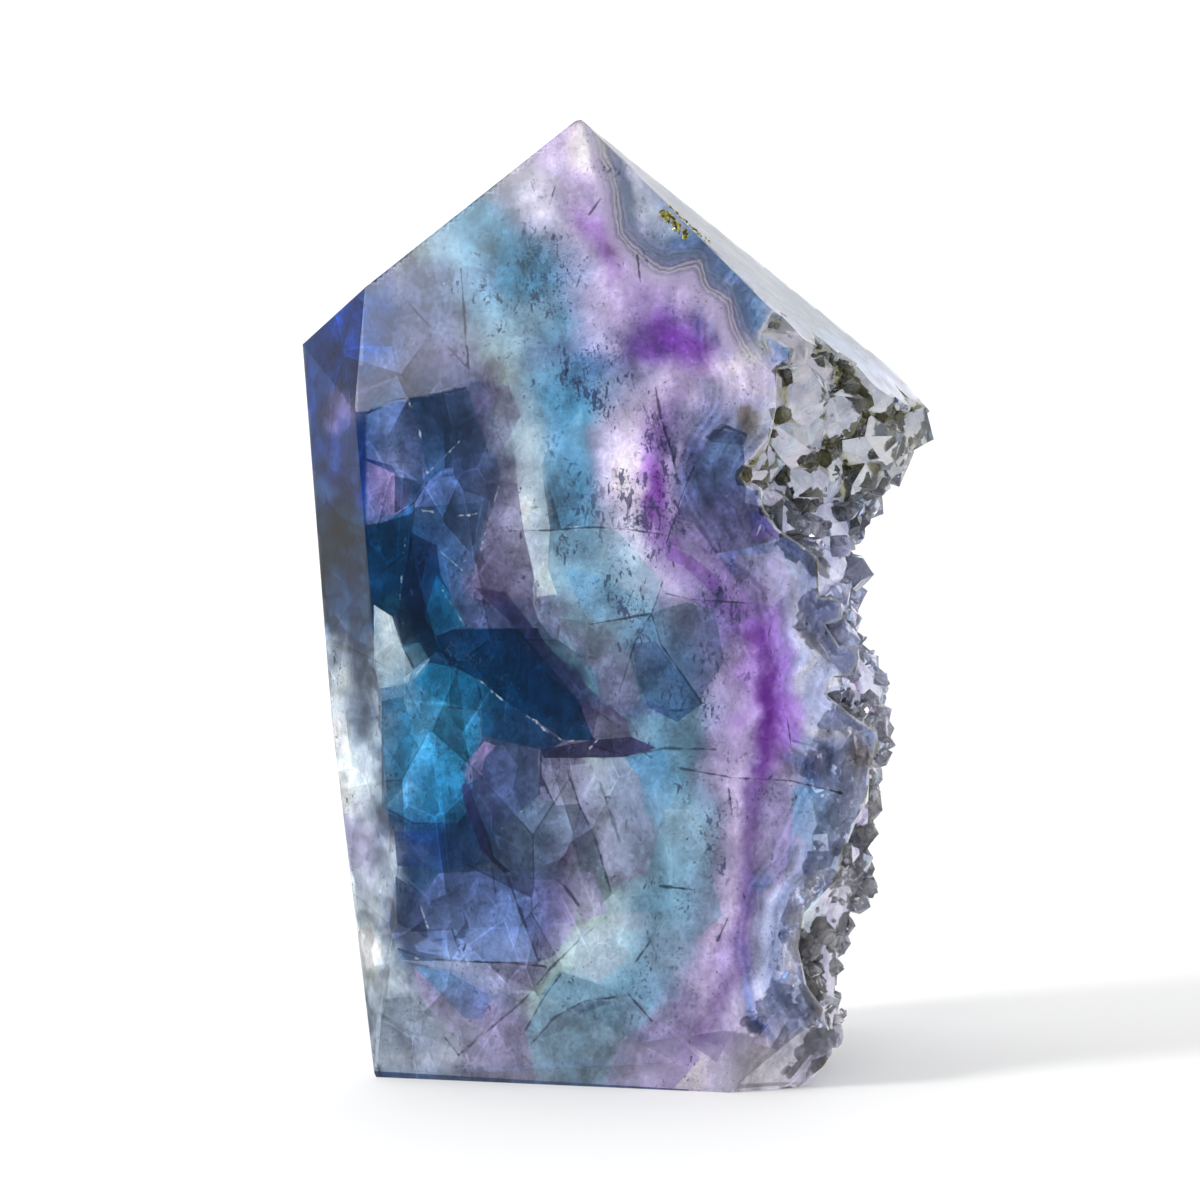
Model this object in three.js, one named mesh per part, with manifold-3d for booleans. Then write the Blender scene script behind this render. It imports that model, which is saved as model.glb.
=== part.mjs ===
// A fluorite generator: one piece of banded fluorite, ground flat and polished to a point on its
// front, left, back and top. The right side is the natural wall of the vein, left rough, with a
// druse of glassy crystals grown on it. The polish cuts straight through whatever crystals it meets.
// Millimetres, +Z up. The large front face looks along -Y and the stone stands on its sawn base.
import * as THREE from "three";
import { ConvexGeometry } from "three/addons/geometries/ConvexGeometry.js";
import { mergeVertices } from "three/addons/utils/BufferGeometryUtils.js";
import Module from "manifold-3d";

const wasm = await Module();
wasm.setup();

// Driving dimensions
const HEIGHT = 115;
const BLANK_WIDTH = 110;
const BLANK_DEPTH = 80;
const BLANK_HEIGHT = 120;

// Polished facets, as a lapidary sets them: azimuth in degrees (0 faces the front, positive turns to
// the right), tilt in degrees (positive looks up) and distance from the middle of the stone.
const FACETS = {
  front: { azimuth: -4, tilt: 6, distance: 12.7 },
  frontUpper: { azimuth: -6, tilt: 13.8, distance: 16.5 },
  frontHeel: { azimuth: -11.7, tilt: -10.2, distance: 26.4 },
  frontToe: { azimuth: 19, tilt: -20.5, distance: 41.6 },
  left: { azimuth: -53, tilt: 0, distance: 29.9 },
  leftShoulder: { azimuth: -44.3, tilt: 12.8, distance: 32.1 },
  leftBack: { azimuth: -142, tilt: -7.4, distance: 20 },
  leftFoot: { azimuth: -142, tilt: -11.8, distance: 20.9 },
  back: { azimuth: 176, tilt: 3, distance: 21 },
  roofLeft: { azimuth: -99.7, tilt: 50.9, distance: 47.4 },
  roofRight: { azimuth: 76, tilt: 46.7, distance: 39.5 },
  roofBack: { azimuth: 183, tilt: 30, distance: 26.9 },
};

// The rough wall's two outlines, as [height, x]: where it meets the front face, and further in,
// where it stands out most. Between them the wall curves back from one to the other.
const FRONT_OUTLINE = [
  [0, 21.5], [6, 25.5], [13, 22], [21, 23], [27, 25.5], [32, 28], [39, 31], [44, 30.5], [47, 25.5],
  [52, 26.5], [60, 24.5], [66, 21.5], [70, 14.5], [76, 16], [82, 20], [90, 17.5], [95, 18], [100, 34],
];
const OUTER_OUTLINE = [
  [0, 22.3], [5, 25.8], [11, 26], [15, 25.6], [19, 28.2], [23, 29.4], [29, 29.6], [36, 29], [40, 30.4],
  [47, 31.2], [51, 27.2], [55, 28.3], [61, 27.2], [65, 29.2], [69, 30.6], [72, 31.6], [76, 35.6],
  [83, 35.2], [90, 37], [100, 40],
];
const FRONT_FOOT_Y = -19.5;
const FRONT_LEAN = THREE.MathUtils.degToRad(6);
const SCOOP = { from: 50, to: 66, depthBelow: 8, depthAbove: 21 };
const BACK_FADE = { from: 22, to: 42, drop: 5 };
const WALL_GRID = { across: 11, up: 28, jitter: 1.5 };

// The druse: how many crystals grow on each stretch of the wall, and their radii.
const DRUSE = [
  { from: 1, to: 30, count: 74, radius: [1, 2.3] },
  { from: 30, to: 56, count: 66, radius: [1.2, 2.7] },
  { from: 56, to: 73, count: 38, radius: [1.5, 3.3] },
  { from: 73, to: 93, count: 44, radius: [1.9, 4.1] },
];
const CRYSTAL = { sides: 6, prism: 0.55, tip: 0.95, root: 1.1, lean: 0.55, skew: 0.22 };

// Rounded lumps of chalcedony in the hollow below the shoulder, as [depth, height, radius].
const LUMPS = [
  [9, 62, 4.2], [5, 69, 3.4], [12, 71.5, 3.8], [8, 78.5, 3.6], [16, 76.5, 3.2], [30, 66, 4], [34, 44, 3.2],
];
const LUMP_SINK = 0.45;

const COLOUR = { fluorite: 0x6f7fae, roughness: 0.12 };
const SEED = 20;

// A repeatable stream of numbers from 0 to 1.
function numberStream(seed) {
  let state = seed >>> 0;
  return () => {
    state = (Math.imul(state, 1664525) + 1013904223) >>> 0;
    return state / 4294967296;
  };
}

function between([low, high], share) {
  return low + (high - low) * share;
}

// Reads an outline of [height, x] points at a height, straight from point to point.
function outlineAt(outline, height) {
  const next = outline.findIndex(([z]) => z > height);
  if (next === 0) return outline[0][1];
  if (next < 0) return outline.at(-1)[1];
  const [z0, x0] = outline[next - 1];
  const [z1, x1] = outline[next];
  return x0 + ((x1 - x0) * (height - z0)) / (z1 - z0);
}

// A closed solid from a surface whose faces are joined at the points they share.
function solidOf(geometry) {
  const bare = geometry.clone();
  bare.deleteAttribute("normal");
  bare.deleteAttribute("uv");
  const merged = mergeVertices(bare, 1e-4);
  const vertProperties = new Float32Array(merged.attributes.position.array);
  const triVerts = new Uint32Array(merged.index.array);
  return new wasm.Manifold(new wasm.Mesh({ numProp: 3, vertProperties, triVerts }));
}

function geometryOf(solid) {
  const { vertProperties, triVerts } = solid.getMesh();
  const geometry = new THREE.BufferGeometry();
  geometry.setAttribute("position", new THREE.BufferAttribute(vertProperties, 3));
  geometry.setIndex(new THREE.BufferAttribute(triVerts, 1));
  return geometry;
}

function facetNormal({ azimuth, tilt }) {
  const turn = THREE.MathUtils.degToRad(azimuth);
  const rise = THREE.MathUtils.degToRad(tilt);
  return new THREE.Vector3(
    Math.sin(turn) * Math.cos(rise),
    -Math.cos(turn) * Math.cos(rise),
    Math.sin(rise),
  );
}

// The block as the lapidary's wheel leaves it: a sawn blank with one cut for each facet.
function polishedBlock() {
  const blank = new THREE.BoxGeometry(BLANK_WIDTH, BLANK_DEPTH, BLANK_HEIGHT);
  blank.translate(0, 0, BLANK_HEIGHT / 2);
  const middle = new THREE.Vector3(0, 0, HEIGHT / 2);
  let block = solidOf(blank);
  for (const facet of Object.values(FACETS)) {
    const inward = facetNormal(facet).negate();
    block = block.trimByPlane(inward.toArray(), inward.dot(middle) - facet.distance);
  }
  return block;
}

// How deep a point lies behind the front face's plane.
function depthBehindFront(y, z) {
  return y - FRONT_FOOT_Y - z * Math.tan(FRONT_LEAN);
}

function yAtDepth(depth, z) {
  return depth + FRONT_FOOT_Y + z * Math.tan(FRONT_LEAN);
}

// The rough wall's x at a depth and a height: from the front outline to the outer one, scooped out
// more deeply in the upper part, then falling away a little towards the back.
function wallX(depth, z) {
  const { smoothstep } = THREE.MathUtils;
  const scoop = between([SCOOP.depthBelow, SCOOP.depthAbove], smoothstep(z, SCOOP.from, SCOOP.to));
  const share = smoothstep(depth, 0, scoop);
  const front = outlineAt(FRONT_OUTLINE, z);
  const outer = outlineAt(OUTER_OUTLINE, z);
  return between([front, outer], share) - BACK_FADE.drop * smoothstep(depth, BACK_FADE.from, BACK_FADE.to);
}

function wallPoint(depth, z) {
  return new THREE.Vector3(wallX(depth, z), yAtDepth(depth, z), z);
}

// The wall's outward direction, from its slopes a short step either way.
function wallNormal(depth, z) {
  const step = 1.5;
  const inward = wallPoint(depth + step, z).sub(wallPoint(depth - step, z));
  const upward = wallPoint(depth, z + step).sub(wallPoint(depth, z - step));
  return inward.cross(upward).normalize();
}

// Everything to the left of the rough wall: a box whose right face follows the wall, broken into
// flat chips by moving each grid point a little.
function wallBlock(random) {
  const { across, up, jitter } = WALL_GRID;
  const box = new THREE.BoxGeometry(BLANK_WIDTH, BLANK_DEPTH, BLANK_HEIGHT, 1, across * 2, up);
  box.translate(0, 0, BLANK_HEIGHT / 2);
  box.deleteAttribute("normal");
  box.deleteAttribute("uv");
  const merged = mergeVertices(box, 1e-4);
  const place = merged.attributes.position;
  for (let i = 0; i < place.count; i++) {
    if (place.getX(i) < 0) continue;
    const z = place.getZ(i);
    const chip = (2 * random() - 1) * jitter;
    place.setX(i, wallX(depthBehindFront(place.getY(i), z), z) + chip);
  }
  return solidOf(merged);
}

// One crystal, rooted at the origin and growing along +Z: a six-sided prism under a pointed cap,
// with its rings nudged so that no two are alike.
function crystalGeometry(radius, random) {
  const { sides, prism, tip, root, skew } = CRYSTAL;
  const shoulder = prism * (0.4 + random());
  const corners = [];
  for (let i = 0; i < sides; i++) {
    const turn = (2 * Math.PI * i) / sides;
    const reach = radius * (1 + skew * (2 * random() - 1));
    const level = radius * shoulder * (1 + skew * (2 * random() - 1));
    corners.push(new THREE.Vector3(reach * Math.cos(turn), reach * Math.sin(turn), level));
    corners.push(new THREE.Vector3(reach * Math.cos(turn), reach * Math.sin(turn), -radius * root));
  }
  const drift = radius * skew;
  corners.push(
    new THREE.Vector3(
      drift * (2 * random() - 1),
      drift * (2 * random() - 1),
      radius * (shoulder + tip * (0.5 + 0.5 * random())),
    ),
  );
  return new ConvexGeometry(corners);
}

// A crystal set on the wall, leaning a little off the wall's own direction.
function grownCrystal(depth, z, radius, random) {
  const lean = new THREE.Vector3(random() - 0.5, random() - 0.5, random() - 0.5);
  const direction = wallNormal(depth, z).addScaledVector(lean, 2 * CRYSTAL.lean).normalize();
  const turn = new THREE.Quaternion().setFromUnitVectors(new THREE.Vector3(0, 0, 1), direction);
  const spin = new THREE.Quaternion().setFromAxisAngle(direction, 2 * Math.PI * random());
  const geometry = crystalGeometry(radius, random).applyQuaternion(spin.multiply(turn));
  return solidOf(geometry.translate(...wallPoint(depth, z).toArray()));
}

function drusyCrystals(random) {
  const deepest = BACK_FADE.to;
  return DRUSE.flatMap(({ from, to, count, radius }) =>
    Array.from({ length: count }, (_, i) => {
      const depth = deepest * random();
      const z = between([from, to], (i + random()) / count);
      return grownCrystal(depth, z, between(radius, random() ** 1.6), random);
    }),
  );
}

function chalcedonyLumps() {
  return LUMPS.map(([depth, z, radius]) => {
    const middle = wallPoint(depth, z).addScaledVector(wallNormal(depth, z), -LUMP_SINK * radius);
    const ball = new THREE.IcosahedronGeometry(radius, 1);
    return solidOf(ball.translate(...middle.toArray()));
  });
}

// The whole stone: the rough block with its druse grown on, ground back by the polished facets.
function fluoriteGeometry() {
  const random = numberStream(SEED);
  const rough = wasm.Manifold.union([wallBlock(random), ...drusyCrystals(random), ...chalcedonyLumps()]);
  const bodies = rough.intersect(polishedBlock()).decompose();
  const stone = bodies.reduce((a, b) => (a.volume() > b.volume() ? a : b));
  const geometry = geometryOf(stone);
  geometry.computeBoundingBox();
  const { min, max } = geometry.boundingBox;
  return geometry.translate(-(min.x + max.x) / 2, -(min.y + max.y) / 2, -min.z);
}

const fluorite = new THREE.Mesh(
  fluoriteGeometry(),
  new THREE.MeshStandardMaterial({ color: COLOUR.fluorite, roughness: COLOUR.roughness, metalness: 0 }),
);
fluorite.name = "fluorite_point";

const generator = new THREE.Group();
generator.add(fluorite);

export default generator;
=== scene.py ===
"""Looks of the fluorite generator: a polished point of banded fluorite with a druse on its right side."""

import math

import bmesh
import bpy
import numpy as np
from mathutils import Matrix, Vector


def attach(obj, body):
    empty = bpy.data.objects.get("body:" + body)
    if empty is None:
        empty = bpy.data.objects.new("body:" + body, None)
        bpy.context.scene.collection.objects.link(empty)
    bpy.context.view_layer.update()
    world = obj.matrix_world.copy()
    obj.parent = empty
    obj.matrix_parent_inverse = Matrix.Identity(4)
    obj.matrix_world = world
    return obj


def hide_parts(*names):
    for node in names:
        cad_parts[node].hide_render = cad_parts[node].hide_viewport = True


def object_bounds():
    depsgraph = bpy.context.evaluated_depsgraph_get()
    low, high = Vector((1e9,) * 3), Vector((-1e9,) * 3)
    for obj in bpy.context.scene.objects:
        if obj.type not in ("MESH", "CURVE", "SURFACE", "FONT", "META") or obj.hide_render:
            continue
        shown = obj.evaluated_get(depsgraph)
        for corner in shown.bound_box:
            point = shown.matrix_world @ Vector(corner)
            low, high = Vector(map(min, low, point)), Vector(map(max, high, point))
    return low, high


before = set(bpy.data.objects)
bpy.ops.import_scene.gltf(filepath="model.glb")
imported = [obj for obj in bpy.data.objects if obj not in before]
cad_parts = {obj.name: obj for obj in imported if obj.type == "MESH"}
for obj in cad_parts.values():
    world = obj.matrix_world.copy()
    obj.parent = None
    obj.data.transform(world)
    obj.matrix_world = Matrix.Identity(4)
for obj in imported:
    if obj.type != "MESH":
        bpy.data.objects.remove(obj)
cad_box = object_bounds()

MM = 0.001
NODE = "fluorite_point"
BODY = "root"

# Camera
CAMERA_PLACE = (-2.7 * MM, -534.5 * MM, 112.85 * MM)
CAMERA_DROP = 6.0
CAMERA_LENS = 131.8
CAMERA_SENSOR = 36.0

# The floor lies a hair above the sawn base, so that the two never share a plane
FLOOR_LEVEL = 0.02 * MM

# Floor, light of the surroundings in front of the stone and behind it, and the low sun
FLOOR_HALF = 6.0
FLOOR_TONE = 0.62
FLOOR_GLOW = 0.20
ROOM_FRONT = 0.20
ROOM_BACK = 1.35
SUN_PLACE = (-0.80, -0.35, 0.55)
SUN_LIGHT = 2.5
SUN_SPREAD = math.radians(14)

# Soft box in the surroundings, which the upper front facet mirrors: its direction, and where its light ends
BOX_WAY = (-0.334, -0.826, 0.454)
BOX_EDGE = math.cos(math.radians(8.5))
BOX_MIDDLE = math.cos(math.radians(2.5))
BOX_LIGHT = 9.0

# Polished block
FACET_AREA = 45 * MM ** 2
FACET_SEED_AREA = 6 * MM ** 2
EDGE_ROUND = 0.35 * MM
EDGE_STEPS = 2
SOFT_EDGE = math.radians(12)
FRONT_STEP = 0.6 * MM
REST_STEP = 1.7 * MM

# Rough wall and its druse
CHIP_DEPTH = 0.09 * MM
CHIP_EDGE = 0.9 * MM
BLOCK_FOOT = 70 * MM
CRYSTALS = 900
CRYSTAL_SIDES = 6
CRYSTAL_SEED = 7

# Gilt grains on the edge between the upper front facet and the right roof facet
GRAINS = 130
GRAIN_SEED = 11
GRAIN_START = 104.9 * MM
UPPER_FRONT_WAY = (-0.10, -0.97, 0.24)
RIGHT_ROOF_WAY = (0.66, -0.17, 0.73)

# Tones of the stone
TONES = {
    "navy": (0.032, 0.092, 0.20),
    "deep_teal": (0.004, 0.045, 0.12),
    "teal": (0.010, 0.095, 0.21),
    "cyan": (0.035, 0.23, 0.38),
    "sky": (0.13, 0.31, 0.49),
    "pale_blue": (0.20, 0.35, 0.46),
    "ice": (0.36, 0.48, 0.56),
    "pale_green": (0.36, 0.45, 0.43),
    "milk": (0.55, 0.55, 0.60),
    "white_haze": (0.74, 0.82, 0.86),
    "white_lilac": (0.76, 0.70, 0.84),
    "sand": (0.44, 0.41, 0.44),
    "rim_blue": (0.42, 0.45, 0.62),
    "lilac": (0.38, 0.31, 0.53),
    "pale_lilac": (0.53, 0.47, 0.63),
    "violet": (0.17, 0.09, 0.33),
    "deep_violet": (0.065, 0.045, 0.16),
    "purple": (0.20, 0.055, 0.38),
    "magenta": (0.33, 0.11, 0.52),
    "slate": (0.09, 0.115, 0.24),
    "slate_blue": (0.13, 0.19, 0.40),
    "steel": (0.16, 0.25, 0.38),
    "indigo": (0.020, 0.055, 0.25),
    "cobalt": (0.02, 0.11, 0.38),
    "periwinkle": (0.25, 0.34, 0.56),
    "dusk": (0.08, 0.12, 0.21),
    "plum": (0.16, 0.145, 0.25),
    "grey_green": (0.16, 0.21, 0.26),
    "grey_lilac": (0.27, 0.26, 0.38),
    "haze": (0.36, 0.39, 0.48),
    "mist_blue": (0.22, 0.27, 0.43),
    "ink": (0.012, 0.02, 0.06),
    "ochre": (0.32, 0.25, 0.17),
    "rust": (0.16, 0.11, 0.15),
}

# Index of refraction of fluorite
FLUORITE_IOR = 1.434

# How much brighter, more marked and deeper the tones are set
TINT_GAIN = 1.32
TINT_POWER = 1.1
TINT_DEPTH = 1.05

# Powers by which the brightness and the hue of the tones are laid on faces that look to the front and to
# the back. Light is tinted by the root of a face's colour each time it passes one, and meets two faces.
FRONT_POWER = 1.65
BACK_POWER = 0.45
FRONT_HUE = 1.45
BACK_HUE = 0.65

# Lines that the colours follow, as points across and up the stone in millimetres, from the top down: the
# purple vein, the edge of the slate lobes above it, and the edge of the part that is broken into fragments.
# The vein's core has a strength at each height, from the bottom up.
VEIN = (
    (-9, 118), (-8, 106), (-4, 100), (1, 94), (6, 89.5), (9.5, 87), (7, 83), (3.8, 77), (3.5, 70), (5, 64),
    (11, 60), (16, 56), (16.6, 49), (17.5, 41), (15.5, 36), (15, 26), (14, 15), (11, 9), (7, 3), (5, -4),
)
VEIN_CORE = (
    (0, 0.3), (10, 0.4), (15, 0.6), (25, 0.4), (34, 0.5), (39, 1), (46, 1), (51, 0.7), (56, 0.5), (60, 0.4),
    (63, 0.2), (65, 0.8), (72, 0.7), (77, 0.4), (81, 0.1), (84, 0.3), (90, 0.5), (95, 0.2), (108, 0.1),
    (112, 0),
)
LOBES = (
    (-5, 118), (-3, 111), (-1.4, 105.5), (-0.8, 101.5), (1.4, 98.9), (4, 97), (8.4, 97.9), (9.3, 95.1),
    (12, 93.6), (12.4, 91.3), (13.6, 88.4), (17, 85), (22, 81),
)
BROKEN_EDGE = (
    (-30, 90), (-20, 83), (-14.5, 79), (-16, 70), (-14.5, 63), (-10, 56), (-1.5, 46), (2, 41), (-0.5, 34),
    (-2.5, 26), (-4, 16), (-10, 10), (-16, -4),
)

# The lines lean back into the stone: how far across per depth, and the depth they are given at
LINE_LEAN = 0.06
LINE_FRONT = -17.3

# Tones by distance in millimetres: left of the vein, in from the rough wall, and right of the lobes' edge
VEIN_BANDS = (
    (0, "lilac"), (2.5, "pale_lilac"), (5.5, "grey_lilac"), (8, "pale_blue"), (12, "pale_blue"),
    (15, "ice"), (18, "pale_green"), (21, "plum"), (26, "dusk"), (34, "navy"),
)
RIM_BANDS = (
    (0, "rim_blue"), (1.4, "milk"), (2.6, "rim_blue"), (3.6, "mist_blue"), (4.6, "rim_blue"),
    (6, "grey_lilac"), (7.2, "slate_blue"), (8.4, "grey_lilac"), (9.8, "pale_lilac"), (11, "grey_lilac"),
    (13, "lilac"), (20, "lilac"),
)
LOBE_BANDS = (
    (-2, "pale_lilac"), (0, "haze"), (1.5, "mist_blue"), (3, "steel"), (5, "haze"), (7, "steel"),
)

# Tones of the seams along the lobes' edge, as shares of the way across them
SEAM_TONES = (
    (0.16, "pale_lilac"), (0.3, "grey_lilac"), (0.4, "milk"), (0.48, "rust"), (0.56, "milk"), (0.66, "slate"),
    (0.76, "mist_blue"), (0.9, "steel"),
)

# Soft clouds of colour: name, across, up, half-width, half-height, turn in degrees, tone and strength
CLOUDS = (
    ("tip glow", -2, 113, 10, 8, 0, "white_lilac", 0.9),
    ("left tip glow", -12, 108, 12, 4, -38, "milk", 0.7),
    ("upper teal", -16, 96, 9, 10, 0, "pale_blue", 0.8),
    ("upper teal core", -13, 97, 4, 6, 20, "cyan", 0.55),
    ("upper sky", -7, 94, 4, 6, 10, "sky", 0.7),
    ("upper green", -12, 89, 6, 4, 30, "ice", 0.6),
    ("shoulder haze", -25, 92, 8, 9, 0, "mist_blue", 0.85),
    ("grey veil", -22, 86, 7, 5, 10, "grey_lilac", 0.6),
    ("lilac cloud", -2, 97, 6, 10, 25, "pale_lilac", 0.8),
    ("white cloud", 1, 104, 3, 6, 20, "milk", 0.7),
    ("purple drop", 5, 90, 4.5, 4, 35, "violet", 0.95),
    ("purple drop tail", 8, 87, 5, 2.6, -35, "purple", 0.7),
    ("violet mist", -3, 100, 2, 6, 30, "magenta", 0.45),
    ("blue fleck cloud", -3, 86, 7, 4, 0, "slate_blue", 0.6),
    ("teal strait", -6, 82, 5, 4, 0, "cyan", 0.5),
    ("pink shelf", 13, 85, 7, 4, 25, "white_lilac", 0.8),
    ("white shelf", 12, 90, 2, 5, 30, "pale_lilac", 0.8),
    ("navy panel", -23, 75, 8, 7, 0, "navy", 0.9),
    ("navy panel right", -18, 74, 5, 6, 10, "indigo", 0.5),
    ("dusk panel", -18, 68, 6, 6, 0, "dusk", 0.7),
    ("blue gleam", -17, 71, 3, 4, 20, "periwinkle", 0.6),
    ("pink splinter", -27.5, 69, 2.5, 5, 15, "lilac", 0.6),
    ("teal panel", -26, 61, 4, 7, 0, "teal", 0.95),
    ("dark hollow", -23, 57, 3.5, 6, 0, "deep_teal", 0.9),
    ("plum fold", -13, 66, 4, 14, 4, "plum", 0.85),
    ("plum fold foot", -12, 55, 6, 6, -30, "plum", 0.7),
    ("white streak", -10.5, 69, 3, 13, -6, "white_haze", 0.9),
    ("sky streak", -5.5, 73, 3.2, 9, 6, "sky", 0.75),
    ("ink smudge", -6.8, 68, 1.6, 3.5, 15, "ink", 0.75),
    ("ink smudge low", -5.5, 63, 1.8, 3, 20, "ink", 0.6),
    ("pale lilac strip", 1, 69, 3.6, 14, 3, "white_lilac", 0.75),
    ("magenta core", 3.8, 71, 1.4, 8, 2, "magenta", 0.75),
    ("ice foot", -1.5, 60, 5, 6, 0, "ice", 0.5),
    ("green patch", -3.5, 52, 5, 6, -20, "grey_green", 0.75),
    ("slate wedge", 10, 74, 4, 8, 12, "slate", 0.8),
    ("slate eye", 12, 74, 3, 5, 0, "steel", 0.8),
    ("dark cap", 14, 79, 3.5, 1.6, 0, "ink", 0.5),
    ("slate field", 16, 66, 7, 6, -15, "slate_blue", 0.6),
    ("pale ray", 13, 60, 7, 2.2, -35, "grey_lilac", 0.8),
    ("rim slate", 23, 62, 4, 7, -15, "mist_blue", 0.5),
    ("purple bend", 12, 57, 4.5, 2.4, -40, "violet", 0.7),
    ("purple knee", 16, 52, 2.2, 5, 0, "magenta", 0.5),
    ("teal shade", 4, 49, 6, 6, -20, "dusk", 0.75),
    ("teal shade low", 9, 45, 5, 4, -10, "grey_green", 0.6),
    ("deep basin", -17, 49, 10, 4.5, -8, "deep_teal", 1.0),
    ("deep basin low", -12, 45, 10, 3, -22, "deep_teal", 0.8),
    ("dark band", -6, 46, 8, 3, -38, "deep_violet", 0.8),
    ("ink band", -3, 43, 8, 1.8, -12, "ink", 0.5),
    ("cyan chip", -27, 51, 2.6, 5, -10, "ice", 0.9),
    ("cyan block", -24, 41, 6, 8, -10, "cyan", 0.95),
    ("cyan block low", -25, 34, 5, 5, 0, "teal", 0.8),
    ("dusk block", -14.5, 36, 4.5, 6, 0, "dusk", 0.9),
    ("grey panel", -6, 33, 4.5, 9, 15, "grey_lilac", 0.7),
    ("blue pool", 3, 36, 4.5, 6, 20, "sky", 0.65),
    ("ice pool", 6, 31, 3.5, 6, 10, "ice", 0.6),
    ("grey green shade", 0, 27, 4, 6, 15, "grey_green", 0.7),
    ("olive shade", -12, 27, 6, 3, 0, "grey_green", 0.6),
    ("periwinkle block", -19, 20, 8, 5.5, 0, "periwinkle", 0.95),
    ("periwinkle gleam", -12, 21, 5, 5, 0, "slate_blue", 0.7),
    ("indigo edge", -26, 20, 3, 5, 10, "indigo", 0.7),
    ("feather", -4.5, 16.5, 5, 4, 20, "white_haze", 0.4),
    ("ice foot right", 4, 17, 5, 4, 0, "ice", 0.45),
    ("foot haze", -20, 8, 9, 6, 0, "haze", 0.8),
    ("foot blue", -17, 11, 5, 3.5, -25, "periwinkle", 0.75),
    ("foot pink", -16, 8, 4, 2.5, -30, "lilac", 0.6),
    ("foot teal", -4, 5, 6, 6, 0, "grey_green", 0.7),
    ("foot plum", -12, 4, 5, 5, 20, "plum", 0.5),
    ("foot violet", 9, 4, 5, 5, -20, "violet", 0.55),
    ("foot milk", 6, 2, 6, 2.5, 0, "pale_lilac", 0.5),
    ("pale strip", 20, 31, 2.6, 8, 0, "grey_lilac", 0.6),
    ("slate strip", 24, 33, 3, 6, 0, "sky", 0.5),
    ("rim haze", 26, 31, 4, 9, 0, "rim_blue", 0.7),
    ("toe sand", 21, 3.5, 9, 6, 30, "sand", 0.95),
    ("heel lilac", 8, 2, 8, 4, 10, "white_lilac", 0.85),
    ("heel haze", -20, 1, 12, 3, 0, "milk", 0.7),
    ("ochre patch", 29, 40, 3, 3.5, 0, "ochre", 0.7),
    ("ochre stain", 14.8, 81, 1.6, 1.0, -20, "ochre", 0.8),
    ("side cobalt", -34, 91, 6, 7, 0, "cobalt", 1.0),
    ("side indigo", -38, 78, 5, 9, 0, "cobalt", 0.9),
    ("side lilac", -34, 80, 3, 4, -35, "lilac", 0.8),
    ("side violet", -34, 72, 5, 7, 0, "indigo", 0.8),
    ("side teal", -35, 63, 7, 6, 0, "deep_teal", 0.95),
    # Painted reflection: these two pale clouds on the lower left facet stand for the sheen of the soft box
    # mirrored in that facet.
    ("side painted sheen", -36, 40, 9, 14, 0, "white_haze", 1.0),
    ("side painted sheen low", -35, 12, 9, 26, 0, "white_haze", 0.9),
    ("side lilac low", -34, 27, 5, 5, 0, "lilac", 0.6),
    ("vein lilac", 15, 46, 4, 9, 0, "lilac", 0.55),
    ("vein glow", 16.8, 43, 2.2, 6, 0, "magenta", 0.6),
    ("pale band", 9, 92.5, 6, 1.8, -30, "pale_lilac", 0.6),
    ("rim mist", 26.5, 33, 2.5, 6, 0, "haze", 0.6),
)

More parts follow.
